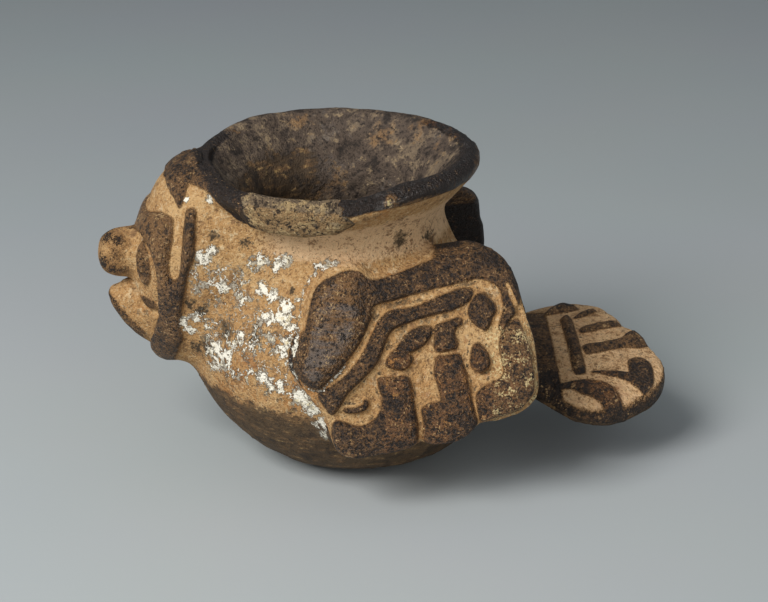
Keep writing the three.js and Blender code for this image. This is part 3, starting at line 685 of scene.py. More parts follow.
def wing_steepness(x, z):
    """How much further apart two points are along the curved face than on its flat chart"""
    dx = (wing_face(x + 0.8, z) - wing_face(x - 0.8, z)) / 1.6
    dz = (wing_face(x, z + 0.8) - wing_face(x, z - 0.8)) / 1.6
    return np.sqrt(1 + dx**2 + dz**2)


wing_slope = charted(WING_AREA, wing_steepness)


def wing_form(x, y, z):
    """The plate alone, measured square to its curved face"""
    out = np.abs(y)
    slope = wing_slope(x, z)
    front = (out - wing_top(x, z)) / slope
    root = WING_ROOT * (1 - ease(x, 8, 20)) * ease(z, 16, 24)
    back = (wing_face(x, z) - WING_THICKNESS - root - out) / slope
    plate = pare(pare(front, wing_edge(x, z), 2), back, 1.5)
    return np.maximum(plate, outside_wall(x, y, z))


def on_wall(part, smear, x, y, z):
    """A part luted on the jar, with clay smeared into its corner, that ends inside the wall"""
    wall = lip_form(x, y, z)
    solid = laid_on(lute(wall, part, smear), wall, part - smear + 0.3, 1.6)
    return np.maximum(solid, outside_wall(x, y, z))


def wing_piece(x, y, z):
    """The smear is widest under the front of the lobe"""
    smear = 1.4 + 4.5 * ease(np.hypot(x + 12, (z - 21) * 0.6), 9, 2)
    return on_wall(wing_form(x, y, z), smear, x, y, z)


for side, hand in HANDS:
    low, high = beside(hand, 14, 46)
    wing = shaped(f"wing_{side}_plate", (-20, low, 12), (40, high, 60), wing_piece)
    stands_for(wing, f"wing_{side}", "worn_slip")


# Tail
# The tail is an arched fan of clay, pressed like the wings and luted on behind the belly. Bars and
# curved bands stand on it in low relief. Its outlines are seen from above, along x and y.
TAIL_EDGE = [
    (27, -10.5), (36, -13), (42.5, -18.7), (48.3, -23.4), (53.5, -25.3), (57.9, -25.5), (62, -24.3),
    (65.3, -22.8), (67.6, -21.7), (69.6, -19.7), (71.7, -16.8), (72.8, -13.4), (73, -10.1),
    (72.3, -7.2), (71.3, -4.6), (70.9, -1), (70.2, 1.8), (68.6, 4), (67, 6.1), (66.5, 9.6),
    (65.2, 13.5), (64, 17.8), (61.4, 21.2), (58, 23.6), (54, 23.6), (50.4, 21.2), (45.4, 17.4),
    (37, 13), (27, 10.5),
]
TAIL_BARS = [
    [(52.1, 8.9), (51.6, 0.8), (51.3, -6.2), (51, -11.3), (51.1, -14.6), (52.4, -14.9), (53.5, -14.1),
     (53.8, -9.6), (54, -4.7), (54.3, 2.3), (54.5, 10.1), (53.4, 10.7)],
    [(55.1, -4), (59.9, -2.9), (64.4, -1.6), (66.8, 1), (68.8, 1.4), (70, -1.4), (70.4, -4.6),
     (68.4, -5.7), (64.8, -5.2), (60.3, -6.4), (56.5, -7.3), (55.1, -7.1)],
    [(56, 4.3), (59.8, 5.9), (63.1, 6.8), (65.2, 6.5), (65.9, 4.9), (64.4, 4.2), (60.5, 3.4),
     (57.3, 2.4), (55.7, 2.2)],
    [(55.3, 9.6), (57.4, 12.4), (60.9, 14.1), (61.6, 13.2), (59.1, 11.3), (56.9, 10)],
    [(48.8, 13), (51.7, 17.4), (54.6, 19.6), (56.8, 17.2), (57.5, 15.5), (55.2, 14), (52, 13.3),
     (49.3, 12)],
    [(55, -14.2), (58.1, -14.3), (61, -14.8), (63.4, -15.5), (64, -14.2), (64.3, -11.4), (65.1, -10.3),
     (67.1, -10), (68.9, -11.3), (69.3, -14.5), (68.7, -18.6), (67.4, -20.9), (65.7, -22),
     (64.6, -20.4), (63.2, -18.6), (60.6, -16.7), (57.6, -15.5)],
    [(45.6, -18.4), (49.2, -17.7), (52.8, -17.2), (56.5, -18.1), (58.7, -19.8), (59.8, -22.5),
     (60.1, -25.7), (58.6, -27), (56.6, -26.6), (56.2, -25.4), (55.2, -23.8), (53.6, -22.4),
     (51.2, -21), (49.4, -19.8), (45.8, -19.4)],
]
TAIL_TOP = 23.6
TAIL_DROOP = 4.3
TAIL_TWIST = 0.125
TAIL_HALF = 25.6
TAIL_THICKNESS = 5
TAIL_RELIEF = 1.3
TAIL_AREA = ((20, -32), (78, 32))
tail_edge = chart_of(TAIL_EDGE, 140, TAIL_AREA)
tail_raised = charted(TAIL_AREA, lambda x, y: nearest_edge(x, y, TAIL_BARS, 5))


def tail_share(y):
    return np.minimum(np.abs(y) / TAIL_HALF, 1.2)


def tail_face(y):
    return TAIL_TOP + TAIL_TWIST * y - TAIL_DROOP * tail_share(y) ** 3


def tail_form(x, y, z):
    slope = np.sqrt(1 + (3 * TAIL_DROOP / TAIL_HALF * tail_share(y) ** 2) ** 2)
    top = (z - tail_face(y) - pillow(tail_raised(x, y), TAIL_RELIEF)) / slope
    under = (tail_face(y) - TAIL_THICKNESS - z) / slope
    fan = pare(pare(top, tail_edge(x, y), 2), under, 2.4)
    return np.maximum(fan, outside_wall(x, y, z))


def tail_piece(x, y, z):
    return on_wall(tail_form(x, y, z), 3.5, x, y, z)


tail = shaped("tail_fan_clay", (28, -27, 8), (75, 27, 29), tail_piece)
stands_for(tail, "tail_fan", "worn_slip")


# Slip, painted shade and lime over the whole pot
# After luting, a dark iron slip was brushed on and wiped out of the hollows, and lime from the ground
# grew over the shoulder. Shade under the belly, inside the jar and round the wing and tail, light on
# the neck and tail, and a sheen on the burnished slip are painted in as well. Each is painted on the
# corners of the meshes as a share from 0 to 1, and the material breaks its edge up.
# The slip's foot on the lip is a height for each of these degrees round the jar. A spot is a place
# on the pot and a radius.
LIP_SLIP_FOOT = (
    (-180, -120, -85, -74, -69, -63, -59, -57, -55, -52, -40, -3, 2, 7, 15, 24, 43, 51, 75, 180),
    (69.5, 71, 72, 72.9, 72.6, 72.1, 71, 68, 65.4, 64, 63.5, 71.3, 71.6, 71.7, 71.1, 70.1, 70.4, 69.9,
     70, 69.5),
)
LIME_SPOTS = [
    (-32.4, -18.3, 32.7, 3), (-30.5, -21.5, 31.6, 3), (-28.7, -24.2, 29.7, 2.4),
    (-17, -25.3, 45.6, 2.4), (-17.6, -26.5, 43.3, 2.4), (-19.5, -22.5, 47, 1.8),
    (-21.1, -25, 42.3, 2.2), (-27.2, -22.4, 38.2, 1.7), (-22.9, -29.5, 30.8, 2.4),
    (-21.2, -30.8, 29.4, 2), (-18.9, -32.2, 29.4, 2), (-14.9, -34.2, 27.6, 2.8),
    (-12.4, -35.6, 24.7, 2.6), (-10.2, -36.2, 21.5, 2.6), (-9.4, -35.6, 18.6, 2), (-35, -16, 54.2, 1.8),
    (-32.7, -16.1, 56.1, 1.2), (-36.8, -14.7, 39.3, 2), (-38.2, -13.7, 36, 1.8),
    (-39.5, -13.8, 38.1, 1.7), (-22.7, -19.3, 54, 2.2), (-19.2, -20.4, 53.8, 2.2),
    (-16.8, -21.5, 54.6, 1.7), (-22, -20.6, 47.8, 1.7), (-34.3, -16.2, 47.6, 2),
    (-30.8, -16.8, 47.1, 2), (-14.2, -26, 47.2, 1), (-9.7, -24.3, 54.4, 1.1), (-7.3, -24.8, 55.4, 1.1),
    (-24, 22, 48, 3), (-30, 17, 38, 3), (-20, 29, 33, 2.6), (-48.2, -7.6, 56.2, 1),
    (-48.6, -6.6, 57, 0.8), (-53, -4.5, 38.6, 0.8), (-37.9, -11.8, 66.6, 0.7), (-32.7, -14.8, 67.6, 1),
]
STAIN_SPOTS = [
    (-30.2, -18.9, 37.8, 3), (-23.8, -25.4, 38.8, 3.4), (-35.8, -15.3, 41.4, 3), (-38, -15, 42.6, 2.4),
    (-36.5, -12.8, 30.6, 3), (-34.7, -14.9, 32.4, 3), (-15.6, -24.3, 48.5, 1.1),
    (-32.2, -16, 59.3, 1.7), (-25.2, -18, 57.9, 2), (8.8, -21.3, 58.6, 2.8), (16.4, -15.6, 57.6, 2.6),
    (-27, 22, 41, 4), (20, 24, 44, 4),
]
RUST_SPOTS = [
    (-25.4, -26.9, 33.2, 4), (-27, -26.1, 30.5, 4), (9.2, 21.3, 69.6, 6), (18.4, 18.3, 73, 6),
    (21.7, 7.3, 71, 5), (-9.5, 26.6, 72.4, 5), (-3.1, 19.3, 59, 8), (-11, 17, 55, 7), (-36, -17, 35, 3),
    (56, -20, 20, 8),
]
BEAK_SPOTS = [
    (-56.2, 1, 55, 2.8), (-53.4, 3.6, 54.6, 2.2), (-54.4, 5, 52, 1.6), (-57.2, 3.6, 49.4, 2.4),
    (-55, 4.6, 48, 2.4), (-53, 4.9, 47.4, 2),
]


def largest(*shares):
    return np.maximum.reduce(shares)


def near(spots, x, y, z):
    """How near the closest spot is, from 1 at its middle down"""
    best = np.zeros(len(x))
    for a, b, c, size in spots:
        away = np.sqrt((x - a) ** 2 + (y - b) ** 2 + (z - c) ** 2)
        best = np.maximum(best, 1 - away / (2 * size))
    return best


def far_inside(x, y, z):
    """The inner slope of the lip across from the roll, where the slip is worn through"""
    return ease(np.abs(around_degrees(x, y, z)), 115, 140) * ease(from_axis(x, y, z), 31.8, 31)


def fan_share(x, y, z):
    return ease(tail_edge(x, y), 2, 0.6) * ease(x, 37, 41) * ease(z, 34, 31)


def slip_and_shade_on_head(x, y, z):
    """Bands, crown, eyes and the crease stay dark, with a smear under the eye and on the beaks. The
    lower edge of the lower beak is dark with slip and painted shade.
    """
    u = round_face(x, y, z)
    edges = [read(u, z) for read in (band_edge, crown_edge, eye_edge)] + [crease(u, z) + 0.4]
    under_eye = 0.55 * ease(np.hypot((u - 10) / 4.5, (z - 41) / 2), 1.1, 0.5)
    face = largest(ease(np.minimum.reduce(edges), 0.7, -0.7), under_eye)
    tip = near(BEAK_SPOTS, x, np.abs(y), z) * ease(upper_beak_form(x, y, z), 2, 1)
    # Slip and painted shade: the lower edge of the lower beak is darkened
    jaw = ease(z + 1.18 * (x + 50) - 33.4, 1.8, 0.2) * ease(x, -47, -49)
    jaw = jaw * ease(lower_beak_form(x, y, z), 2, 1)
    return largest(face * ease(head_form(x, y, z), 3.6, 2.6), 0.56 * tip, 0.45 * jaw)


def slip_and_shade_on_wing(x, y, z):
    """The raised feathers and the strip over them keep it. The plate's back is darkened as painted
    shade.
    """
    edge, out = wing_edge(x, z), np.abs(y) - wing_face(x, z)
    free = largest(ease(x, 14, 20), ease(z, 44, 38))
    on_plate = ease(edge, 1.2, 0.4) * free + ease(edge, -0.6, -1.4) * (1 - free)
    on_face = ease(out, -1.6, -0.8)
    over_lobe = z - np.interp(x, [4, 26, 31, 36], [53, 54.6, 52.4, 46])
    raised = ease(wing_raised(x, z), 0.65, -0.5) * ease(wing_line(x, z), 0.2, 0.8)
    pattern = largest(raised, ease(x, 4, 9) * ease(over_lobe, -0.4, 0.8))
    # Painted shade: the back of the plate is darkened with the slip's colour
    return on_plate * ease(out, -9, -7) * (pattern * on_face + (1 - on_face) * 0.8)


def slip_and_shade_on_tail(x, y, z):
    """The bars and the rim keep it. A band across the root holds slip and the painted shadow of the
    wing, and the underside is painted shade.
    """
    on_top = ease(z - tail_face(y), -1.6, -0.6)
    # Slip and the painted shadow of the wing across the tail's root
    root_slip_and_wing_shadow = 0.85 * ease(np.abs(x - 45.5 - 0.06 * y), 3.4, 1.6) * ease(y, 17, 12)
    rim = 0.5 * ease(tail_edge(x, y), -1.2, 0)
    bars = largest(ease(tail_raised(x, y), 0.6, -0.5), root_slip_and_wing_shadow, rim)
    # Painted shade: the underside of the fan is darkened with the slip's colour
    return fan_share(x, y, z) * (bars * on_top + 0.7 * (1 - on_top))


def slip_on_lip(x, y, z):
    height = unsagged(x, y, z) - np.interp(around_degrees(x, y, z), *LIP_SLIP_FOOT)
    edge = ease(height, -0.5, 0.5) * ease(from_axis(x, y, z), 23, 27)
    return edge * (1 - far_inside(x, y, z))


def rough_roll(x, y, z):
    """The roll without slip, with ragged ends"""
    was, degrees = unsagged(x, y, z), around_degrees(x, y, z)
    ragged = 0.9 * np.sin(2.3 * was) + 0.6 * np.sin(5.1 * was + 1)
    right_end = degrees + 3.4 + ragged - 16 * ease(was, 71.7 + 0.2 * ragged, 70.7)
    left_end = ragged - 42.5 - 0.6 * (was - 70) - degrees
    raw = ease(largest(right_end, left_end), 1.2, -1.2) * ease(roll_form(x, y, z), 1.6, 0.6)
    return raw * (0.72 + 0.28 * ease(was, 73.4, 71.8))


def masks(p):
    x, y, z = p.T
    radius, was, degrees = from_axis(x, y, z), unsagged(x, y, z), around_degrees(x, y, z)
    # Places on the pot
    inner = ease(radius - skin_radius(np.minimum(was, 70)), -2.6, -5) * ease(z, 9, 12)
    inner = largest(inner, far_inside(x, y, z) * ease(was, 70, 72))
    on_plate = ease(wing_edge(x, z), 1, 0) * ease(np.abs(y) - wing_face(x, z), -2, -1)
    lobe = ease(lobe_edge(x, z), 0, -2.5) * ease(x, 4, -4) * on_plate
    rear = ease(x, 22, 28) * ease(z, 46, 42) * on_plate
    tips = ease(z, 30, 22) * ease(x, 2, 8) * on_plate
    feathers = on_plate * ease(z, 44, 38) * ease(x, -2, 4)
    # Dirt and painted shade: a dark line on the ground at the foot of each raised feather
    ridge_foot_dirt_and_shade = on_plate * ease(np.abs(wing_raised(x, z) - 0.8), 0.6, 0.2)
    crevice = ease(np.abs(lobe_edge(x, z) - 0.5), 0.9, 0.2) * ease(x, -2, -6) * ease(np.abs(y), 18, 22)
    on_head = ease(head_form(x, y, z), 3.6, 2.6) * ease(radius, 31, 33)
    on_brow = on_head * ease(z, 65, 64) * ease(z, 44, 48) * ease(round_face(x, y, z), 18, 17)
    on_tail = fan_share(x, y, z)
    tail_top = on_tail * ease(z - tail_face(y), -4, -2)
    flank = ease(radius, 27, 31) * ease(z, 56, 50) * (1 - on_plate)
    left = flank * ease(degrees, -71, -65) * ease(degrees, -8, -20) * ease(z, 24, 29)
    # Painted light: the outer neck under the lip is painted paler, as if lit
    outer_neck = ease(z, 53, 57) * ease(radius, 30, 27) * ease(degrees, -60, -30) * (1 - inner)
    # Marks of use: a chip in the lip, a worn ledge at its foot, and the rubbed edge over the head
    chip = ease(np.hypot((degrees - 16) * 0.6, was - 72), 2.6, 0.6)
    ledge = ease(degrees, -2, 2) * ease(degrees, 44, 30) * ease(was, 71.4, 70.6) * ease(was, 66, 68)
    rubbed = ease(was, 68, 70) * ease(degrees, -20, -40)
    raw = rough_roll(x, y, z)
    # The slip share also carries painted shade: the wing's back, the fan's underside, the tail's root
    # and the lower beak's edge
    slip_and_shade = largest(*(part(x, y, z) for part in (slip_and_shade_on_head, slip_and_shade_on_wing, slip_and_shade_on_tail, slip_on_lip)))
    slip_and_shade = slip_and_shade * (1 - np.minimum(raw * 1.5, 1))
    lime = largest(0.95 * near(LIME_SPOTS, x, y, z), 0.5 * left) * (1 - on_plate) * (1 - 0.6 * slip_and_shade)
    # Painted shade: the belly is darker towards the bottom, except where the tail's top faces up, and
    # the inside is darker towards the left and down
    shade_under = ease(z, 27, 17) * (1 - inner) * (1 - on_plate) * (1 - tail_top)
    shade_inside = 0.9 * inner * ease(x, 4, -18) * ease(was, 71, 63)
    return {
        "slip_and_shade": slip_and_shade,
        "inner": inner,
        "raw": raw,
        "painted_shade": largest(shade_under, shade_inside),
        "lime": largest(lime, 0.6 * crevice),
        "stain_and_shade": largest(0.9 * near(STAIN_SPOTS, x, y, z), 0.34 * flank, 0.55 * ridge_foot_dirt_and_shade),
        "rust": largest(0.6 * near(RUST_SPOTS, x, y, z), 0.4 * left, 0.26 * on_plate, 0.44 * feathers),
        "crumb": largest(0.6 * rear, 0.7 * chip, 0.36 * left, 0.44 * tips, 0.25 * on_tail),
        "wear": largest(0.4 * on_plate, 0.66 * lobe, 0.6 * rear, 0.48 * on_head, 0.78 * on_brow,
                        0.3 * on_tail, 0.12 * rubbed, chip * (1 - inner), 0.9 * ledge * (1 - inner)),
        # Painted light on the neck under the lip and on the top of the tail
        "painted_light": largest(outer_neck, 0.7 * on_tail),
        # Burnished slip on the lobe and the lip: smoother, and painted with a grey sheen
        "gloss_and_sheen": largest(lobe, 0.8 * ease(degrees, 0, 12) * ease(was, 69, 71)),
    }


def linear(code):
    """Linear colour of an sRGB hex code"""
    parts = [int(code[i:i + 2], 16) / 255 for i in (1, 3, 5)]
    return [c / 12.92 if c <= 0.04045 else ((c + 0.055) / 1.055) ** 2.4 for c in parts] + [1]


def add(tree, kind, out, inputs, **settings):
    """Adds a node with its settings, values and links, and gives one of its outputs"""
    made = tree.nodes.new("ShaderNode" + kind)
    for key, value in settings.items():
        setattr(made, key, value)
    for key, value in inputs.items():
        if isinstance(value, bpy.types.NodeSocket):
            tree.links.new(value, made.inputs[key])
        else:
            made.inputs[key].default_value = linear(value) if isinstance(value, str) else value
    return made.outputs[out] if made.outputs else None


# Each pattern has its size in mm across and up, its octaves and their roughness. Sand grains of
# 0.2 mm are too fine to show, so the grit is drawn at 0.45 mm.
PATTERNS = {
    "grit": (0.45, 0.45, 2, 0.6),
    "sand": (0.9, 0.9, 3, 0.7),
    "fleck": (1.7, 1.7, 4, 0.75),
    "patch": (3.4, 3.4, 5, 0.72),
    "wash": (8, 8, 6, 0.72),
    "cloud": (17, 17, 6, 0.66),
    "streak": (6, 0.9, 4, 0.65),
    "crust": (3, 3, 5, 0.7),
}
MASKS = ("slip_and_shade", "inner", "raw", "painted_shade", "lime", "stain_and_shade", "rust", "crumb", "wear", "painted_light", "gloss_and_sheen")
# Each coat lies over the ones before it: where it lies, its ground colour, its roughness, its
# thickness and grain in mm, and its layers. A place is a sum of patterns and masks, the level at
# which it starts, the level at which it is full, and its share.
COATS = [
    # Bare clay, from pale to burnt, with flecks of sand and stains, dirt and painted shade at the foot
    # of the wing's ridges, and painted light on the neck and tail
    (None, "#ad8453", 0.86, 0, {"grit": 0.4, "sand": 0.6, "fleck": 0.6}, [
        ({"wash": 1, "sand": 0.5}, -0.02, 0.1, 0.75, "#c39f6e"),
        ({"cloud": 1, "patch": 0.8}, 0.03, 0.15, 0.75, "#a06a33"),
        ({"patch": 1.2, "wash": -0.5, "sand": 0.6}, 0.06, 0.2, 0.8, "#d3b990"),
        # Painted light: paler clay on the neck under the lip and on the tail
        ({"painted_light": 1, "patch": 1, "fleck": 0.6, "sand": 0.5}, 0.25, 1, 0.85, "#d9b48a"),
        ({"patch": 1, "fleck": 0.8}, -0.06, -0.18, 0.75, "#7c5a3a"),
        ({"grit": 1, "sand": 0.8, "patch": 0.6}, -0.05, -0.2, 0.7, "#684c31"),
        ({"grit": 1, "fleck": 0.6}, 0.08, 0.2, 0.6, "#d6bf98"),
        ({"rust": 1, "patch": 1.6, "fleck": 0.6}, 0.4, 0.7, 0.7, "#87542c"),
        ({"fleck": 1, "grit": 0.7}, 0.17, 0.26, 0.85, "#4a3a2a"),
        # Stains, and dirt with painted shade along the foot of the wing's ridges
        ({"stain_and_shade": 1, "fleck": 1.7, "patch": 1.2, "cloud": 0.8}, 0.46, 0.72, 0.75, "#5b4a32"),
        ({"stain_and_shade": 0.9, "fleck": 2, "sand": 1.2}, 0.6, 0.78, 0.85, "#33291c"),
        ({"crumb": 1, "fleck": 1.3, "grit": 1}, 0.6, 0.78, 0.85, "#d2bd8c"),
    ]),
    # Thin rubbed edge of the slip
    (({"slip_and_shade": 1, "patch": 1.2, "grit": 0.8}, 0.1, 0.42, 0.85), "#7d5830", 0.8, 0,
     {"grit": 0.4, "sand": 0.5}, [
        ({"sand": 1}, -0.04, 0.1, 0.8, "#a07646"),
        ({"grit": 1, "patch": 0.6}, -0.02, -0.16, 0.85, "#3f2d1e"),
    ]),
    # Dark iron slip, whose roughness is the finish's own. Where the slip share carries shade, this dark
    # coat is painted shade.
    (({"slip_and_shade": 1, "patch": 1.1, "grit": 1.2}, 0.38, 0.56, 1), "#271c15", None, 0.12,
     {"grit": 0.7, "sand": 1, "fleck": 0.8}, [
        ({"wear": 1, "patch": 1, "wash": 0.6, "grit": 1, "sand": 0.8}, 0.18, 0.74, 0.95, "#7a5936"),
        ({"rust": 1, "patch": 1.3, "wash": 0.8, "sand": 0.8}, 0.32, 0.6, 0.75, "#704a29"),
        ({"patch": 1, "wash": 0.5, "sand": 0.6}, 0.08, 0.2, 0.6, "#6b4c32"),
        # Painted sheen: a slate-grey reflection on the burnished slip of the lobe and the lip
        ({"gloss_and_sheen": 1, "streak": 1, "cloud": 1.8}, 0.9, 1.2, 0.7, "#625c58"),
        ({"rust": 0.6, "fleck": 1, "patch": 0.8, "grit": 0.6}, 0.38, 0.5, 0.85, "#a6733b"),
        ({"fleck": 1, "sand": 0.7}, -0.03, -0.14, 0.8, "#1d1712"),
        ({"grit": 1, "sand": 0.6}, -0.05, -0.16, 0.85, "#150f0c"),
        ({"grit": 1, "sand": 0.5, "patch": 0.9, "wear": 0.12}, 0.2, 0.3, 0.85, "#b8986a"),
        ({"crumb": 1, "fleck": 1.3, "grit": 1, "patch": 0.8}, 0.66, 0.82, 0.9, "#cbb583"),
    ]),
    # Smoked clay inside
    (({"inner": 1, "patch": 1.4}, 0.35, 0.75, 1), "#54463a", 0.82, 0,
     {"grit": 0.4, "sand": 0.5, "fleck": 0.6}, [
        ({"wash": 1, "patch": 0.8, "sand": 0.5}, 0, 0.14, 0.8, "#7c6a54"),
        ({"wash": 1, "cloud": 0.8, "patch": 0.6}, -0.03, -0.16, 0.9, "#251d17"),
        ({"cloud": 1, "patch": 0.5}, 0.06, 0.2, 0.5, "#6a6460"),
        ({"patch": 1, "fleck": 0.8}, 0.08, 0.2, 0.8, "#8f7a5c"),
        ({"rust": 1, "patch": 1.3, "wash": 1, "fleck": 0.8}, 0.42, 0.75, 0.75, "#86633c"),
        ({"fleck": 1, "sand": 0.7}, -0.05, -0.16, 0.8, "#2b221a"),
        ({"grit": 1, "sand": 1, "patch": 0.5}, -0.08, -0.22, 0.8, "#1f1813"),
        ({"grit": 1, "patch": 0.9}, 0.18, 0.28, 0.8, "#b39c7b"),
    ]),
    # Painted shade under the belly and inside the jar towards the left, dark and mottled
    (({"painted_shade": 1, "cloud": 1.2, "patch": 1.6, "fleck": 0.8}, 0.3, 0.6, 0.92), "#463624", 0.8, 0,
     {"grit": 0.4, "fleck": 0.5}, [
        ({"patch": 1, "streak": 0.8}, 0, 0.14, 0.85, "#6c5032"),
        ({"wash": 1, "patch": 0.8}, -0.02, -0.16, 0.9, "#261e17"),
        ({"grit": 1, "sand": 0.8}, -0.08, -0.22, 0.8, "#1d1610"),
        ({"fleck": 1, "patch": 0.6, "streak": 0.6}, 0.12, 0.24, 0.9, "#a88957"),
    ]),
    # Rough roll
    (({"raw": 1, "sand": 0.6, "grit": 0.4}, 0.3, 0.5, 1), "#7c6850", 0.9, 0.1,
     {"patch": 1.6, "fleck": 2.4, "sand": 1.6, "grit": 0.8}, [
        ({"raw": 2, "patch": 0.8}, 1.6, 1.85, 0.9, "#9d7c52"),
        ({"patch": 1, "fleck": 0.8}, 0.02, 0.12, 0.85, "#bd9f70"),
        ({"wash": 1, "patch": 0.8}, 0.04, 0.16, 0.5, "#746c62"),
        ({"fleck": 1, "sand": 0.8}, -0.02, -0.13, 0.9, "#3d3023"),
        ({"grit": 1, "sand": 0.8}, -0.06, -0.18, 0.9, "#251c14"),
        ({"grit": 1, "fleck": 0.5}, 0.08, 0.2, 0.7, "#c9b288"),
    ]),
    # Grey film of lime
    (({"lime": 1, "vein": -3, "wash": 1.4, "patch": 1, "sand": 0.6}, 0.38, 0.56, 0.85), "#928e83",
     0.9, 0.05, {"sand": 0.4}, [
        ({"sand": 1, "patch": 0.5}, 0.02, 0.12, 0.8, "#b3ab98"),
        ({"grit": 1, "fleck": 0.5}, -0.04, -0.16, 0.85, "#4c4234"),
    ]),
    # Chalky crusts of lime along the veins of the film
    (({"lime": 1, "vein": -5, "wash": 1.4, "fleck": 1.2, "grit": 0.8}, 0.44, 0.58, 0.95), "#efe8d6",
     0.9, 0.25, {"grit": 0.5}, [
        ({"patch": 1, "sand": 0.6}, 0.02, 0.18, 0.8, "#cbb98d"),
    ]),
]


def fired_clay(name, slip_roughness):
    """Low-fired brown earthenware, hand smoothed, under a wiped dark iron slip. Bare clay is dull
    and sandy to the eye, the slip a little smoother, and its sand shows as light specks."""
    material = bpy.data.materials.new(name)
    material.use_nodes = True
    tree = material.node_tree
    tree.nodes.clear()
    place = add(tree, "TexCoord", "Object", {})
    source = {}
    for label, (across, up, octaves, roughness) in PATTERNS.items():
        spot = add(tree, "VectorMath", "Vector", {
            0: place, 1: [1000 / across, 1000 / across, 1000 / up],
        }, operation="MULTIPLY")
        source[label] = add(tree, "TexNoise", "Fac", {
            "Vector": spot, "W": 3.7 * len(source), "Scale": 1, "Detail": octaves,
            "Roughness": roughness,
        }, noise_dimensions="4D")
    for label in MASKS:
        source[label] = add(tree, "Attribute", "Fac", {}, attribute_name=label)
    off = add(tree, "Math", 0, {0: source["crust"], 1: 0.5}, operation="SUBTRACT")
    source["vein"] = add(tree, "Math", 0, {0: off}, operation="ABSOLUTE")
    for cover, ground, dull, thickness, grain, layers in COATS:
        for terms, starts, full, share, code in layers + ([(*cover, None)] if cover else []):
            level, middle = 0, 0
            for label, gain in terms.items():
                sums = {0: source[label], 1: gain, 2: level}
                level = add(tree, "Math", 0, sums, operation="MULTIPLY_ADD")
                middle += gain / 2 if label in PATTERNS else 0
            factor = add(tree, "MapRange", "Result", {
                "Value": level, "From Min": starts + middle, "From Max": full + middle, "To Max": share,
            }, interpolation_type="SMOOTHSTEP")
            if code:
                ground = add(tree, "Mix", 2, {"Factor": factor, 6: ground, 7: code}, data_type="RGBA")
        relief = thickness
        for label, gain in grain.items():
            sums = {0: source[label], 1: gain, 2: relief}
            relief = add(tree, "Math", 0, sums, operation="MULTIPLY_ADD")
        if cover:
            dull = slip_roughness if dull is None else dull
            color = add(tree, "Mix", 2, {"Factor": factor, 6: color, 7: ground}, data_type="RGBA")
            rough = add(tree, "Mix", 0, {"Factor": factor, 2: rough, 3: dull})
            height = add(tree, "Mix", 0, {"Factor": factor, 2: height, 3: relief})
        else:
            color, rough, height = ground, dull, relief
    smooth = add(tree, "Math", 0, {0: source["gloss_and_sheen"], 1: -0.16, 2: rough}, operation="MULTIPLY_ADD")
    bump = add(tree, "Bump", "Normal", {"Strength": 1, "Distance": 0.001, "Height": height})
    shader = add(tree, "BsdfPrincipled", "BSDF", {
        "Base Color": color, "Roughness": smooth, "Normal": bump, "IOR": 1.5, "Specular IOR Level": 0.4,
    })
    add(tree, "OutputMaterial", None, {"Surface": shader})
    return material


finishes = {
    "bare_clay": fired_clay("bare_fired_clay", 0.6),
    "dark_slip": fired_clay("dark_slip_on_clay", 0.46),
    "worn_slip": fired_clay("worn_slip_on_clay", 0.52),
}
for piece, slot in pieces:
    mesh = piece.data
    corners = np.empty(len(mesh.vertices) * 3, np.float32)
    mesh.vertices.foreach_get("co", corners)
    for name, values in masks(corners.reshape(-1, 3).astype(float) * 1000).items():
        layer = mesh.attributes.new(name, "FLOAT", "POINT")
        layer.data.foreach_set("value", np.clip(values, 0, 1).astype(np.float32))
    mesh.materials.append(finishes[slot])


# Paper sweep, light and camera
# The jar stands on a sheet of uncoated grey paper that curves up behind it. A soft window light
# stands to the front left and a weak one in front, with an even light from all round. This section
# is in metres.
PAPER_HALF = 1.6
PAPER_PROFILE = [
    (-1.2, 0), (0.9, 0), (1.15, 0.03), (1.38, 0.14), (1.52, 0.34), (1.58, 0.6), (1.6, 2.2),
]
PAPER_CLOUDS = 9
profile = through(PAPER_PROFILE, 60)
sheet = bpy.data.meshes.new("paper_sweep")
corners = [(s * PAPER_HALF, y, max(z, 0)) for y, z in profile for s in (-1, 1)]
strips = [(2 * i, 2 * i + 1, 2 * i + 3, 2 * i + 2) for i in range(len(profile) - 1)]
sheet.from_pydata(corners, [], strips)
sheet.shade_smooth()
paper = placed("paper_sweep", sheet)
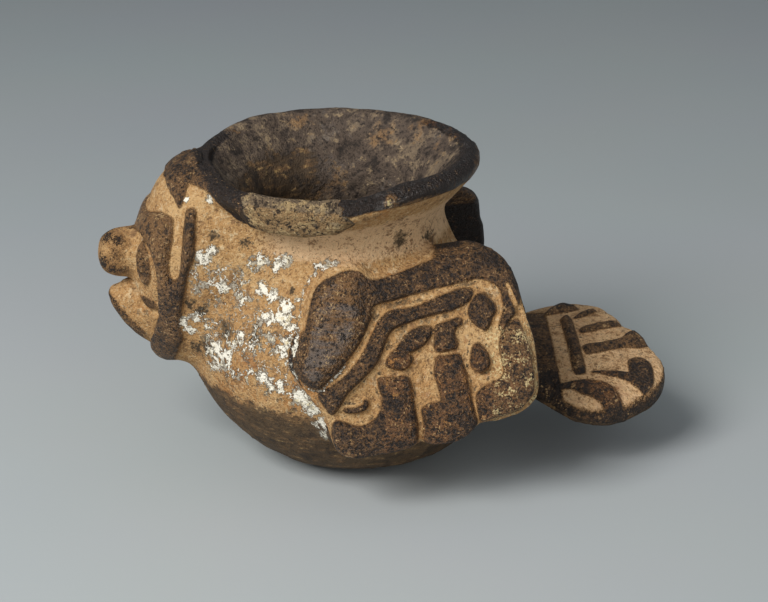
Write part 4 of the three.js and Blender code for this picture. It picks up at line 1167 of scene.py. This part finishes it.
# Uncoated paper is matte, with faint clouds of fibre a hand's breadth across, nine to a metre. Its
# colour is painted darker towards the back, as painted shade for the light falling off away from the
# window.
paper_finish = bpy.data.materials.new("grey_paper")
paper_finish.use_nodes = True
tree = paper_finish.node_tree
tree.nodes.clear()
where = add(tree, "TexCoord", "Object", {})
back = add(tree, "SeparateXYZ", "Y", {"Vector": where})
depth = add(tree, "MapRange", "Result", {"Value": back, "From Min": 0, "From Max": 0.9})
fibre = add(tree, "TexNoise", "Color", {"Vector": where, "Scale": PAPER_CLOUDS, "Detail": 3})
falloff_shade = add(tree, "Mix", 2, {"Factor": depth, 6: "#aeb3b3", 7: "#838b90"}, data_type="RGBA")
mottle = add(tree, "Mix", 2, {
    "Factor": 0.04, 6: falloff_shade, 7: fibre,
}, data_type="RGBA", blend_type="OVERLAY")
matte = add(tree, "BsdfPrincipled", "BSDF", {"Base Color": mottle, "Roughness": 0.9})
add(tree, "OutputMaterial", None, {"Surface": matte})
sheet.materials.append(paper_finish)

AIM = Vector((0.0077, 0, 0.0355))


def aimed(thing, place):
    thing.location = place
    thing.rotation_euler = (AIM - thing.location).to_track_quat("-Z", "Y").to_euler()


for name, place, size, power in (
    ("soft_window", (-0.56, -0.52, 0.7), 0.5, 10.6),
    ("soft_fill", (0.2, -1.1, 0.3), 0.8, 2.4),
):
    lamp = bpy.data.lights.new(name, "AREA")
    lamp.shape = "SQUARE"
    lamp.size = size
    lamp.energy = power
    aimed(placed(name, lamp), place)

world = bpy.data.worlds.new("even_light")
bpy.context.scene.world = world
world.use_nodes = True
sky = world.node_tree.nodes["Background"].inputs
sky["Color"].default_value = linear("#e6ebf0")
sky["Strength"].default_value = 0.34

AZIMUTH = math.radians(-6.5)
ELEVATION = math.radians(22)
CAMERA_DISTANCE = 0.502
camera_data = bpy.data.cameras.new("photo_camera")
camera_data.lens = 100
camera_data.sensor_width = 36
camera = placed("photo_camera", camera_data)
aimed(camera, AIM + CAMERA_DISTANCE * Vector((
    math.sin(AZIMUTH) * math.cos(ELEVATION),
    -math.cos(AZIMUTH) * math.cos(ELEVATION),
    math.sin(ELEVATION),
)))
bpy.context.scene.camera = camera
bpy.context.scene.view_settings.view_transform = "Standard"
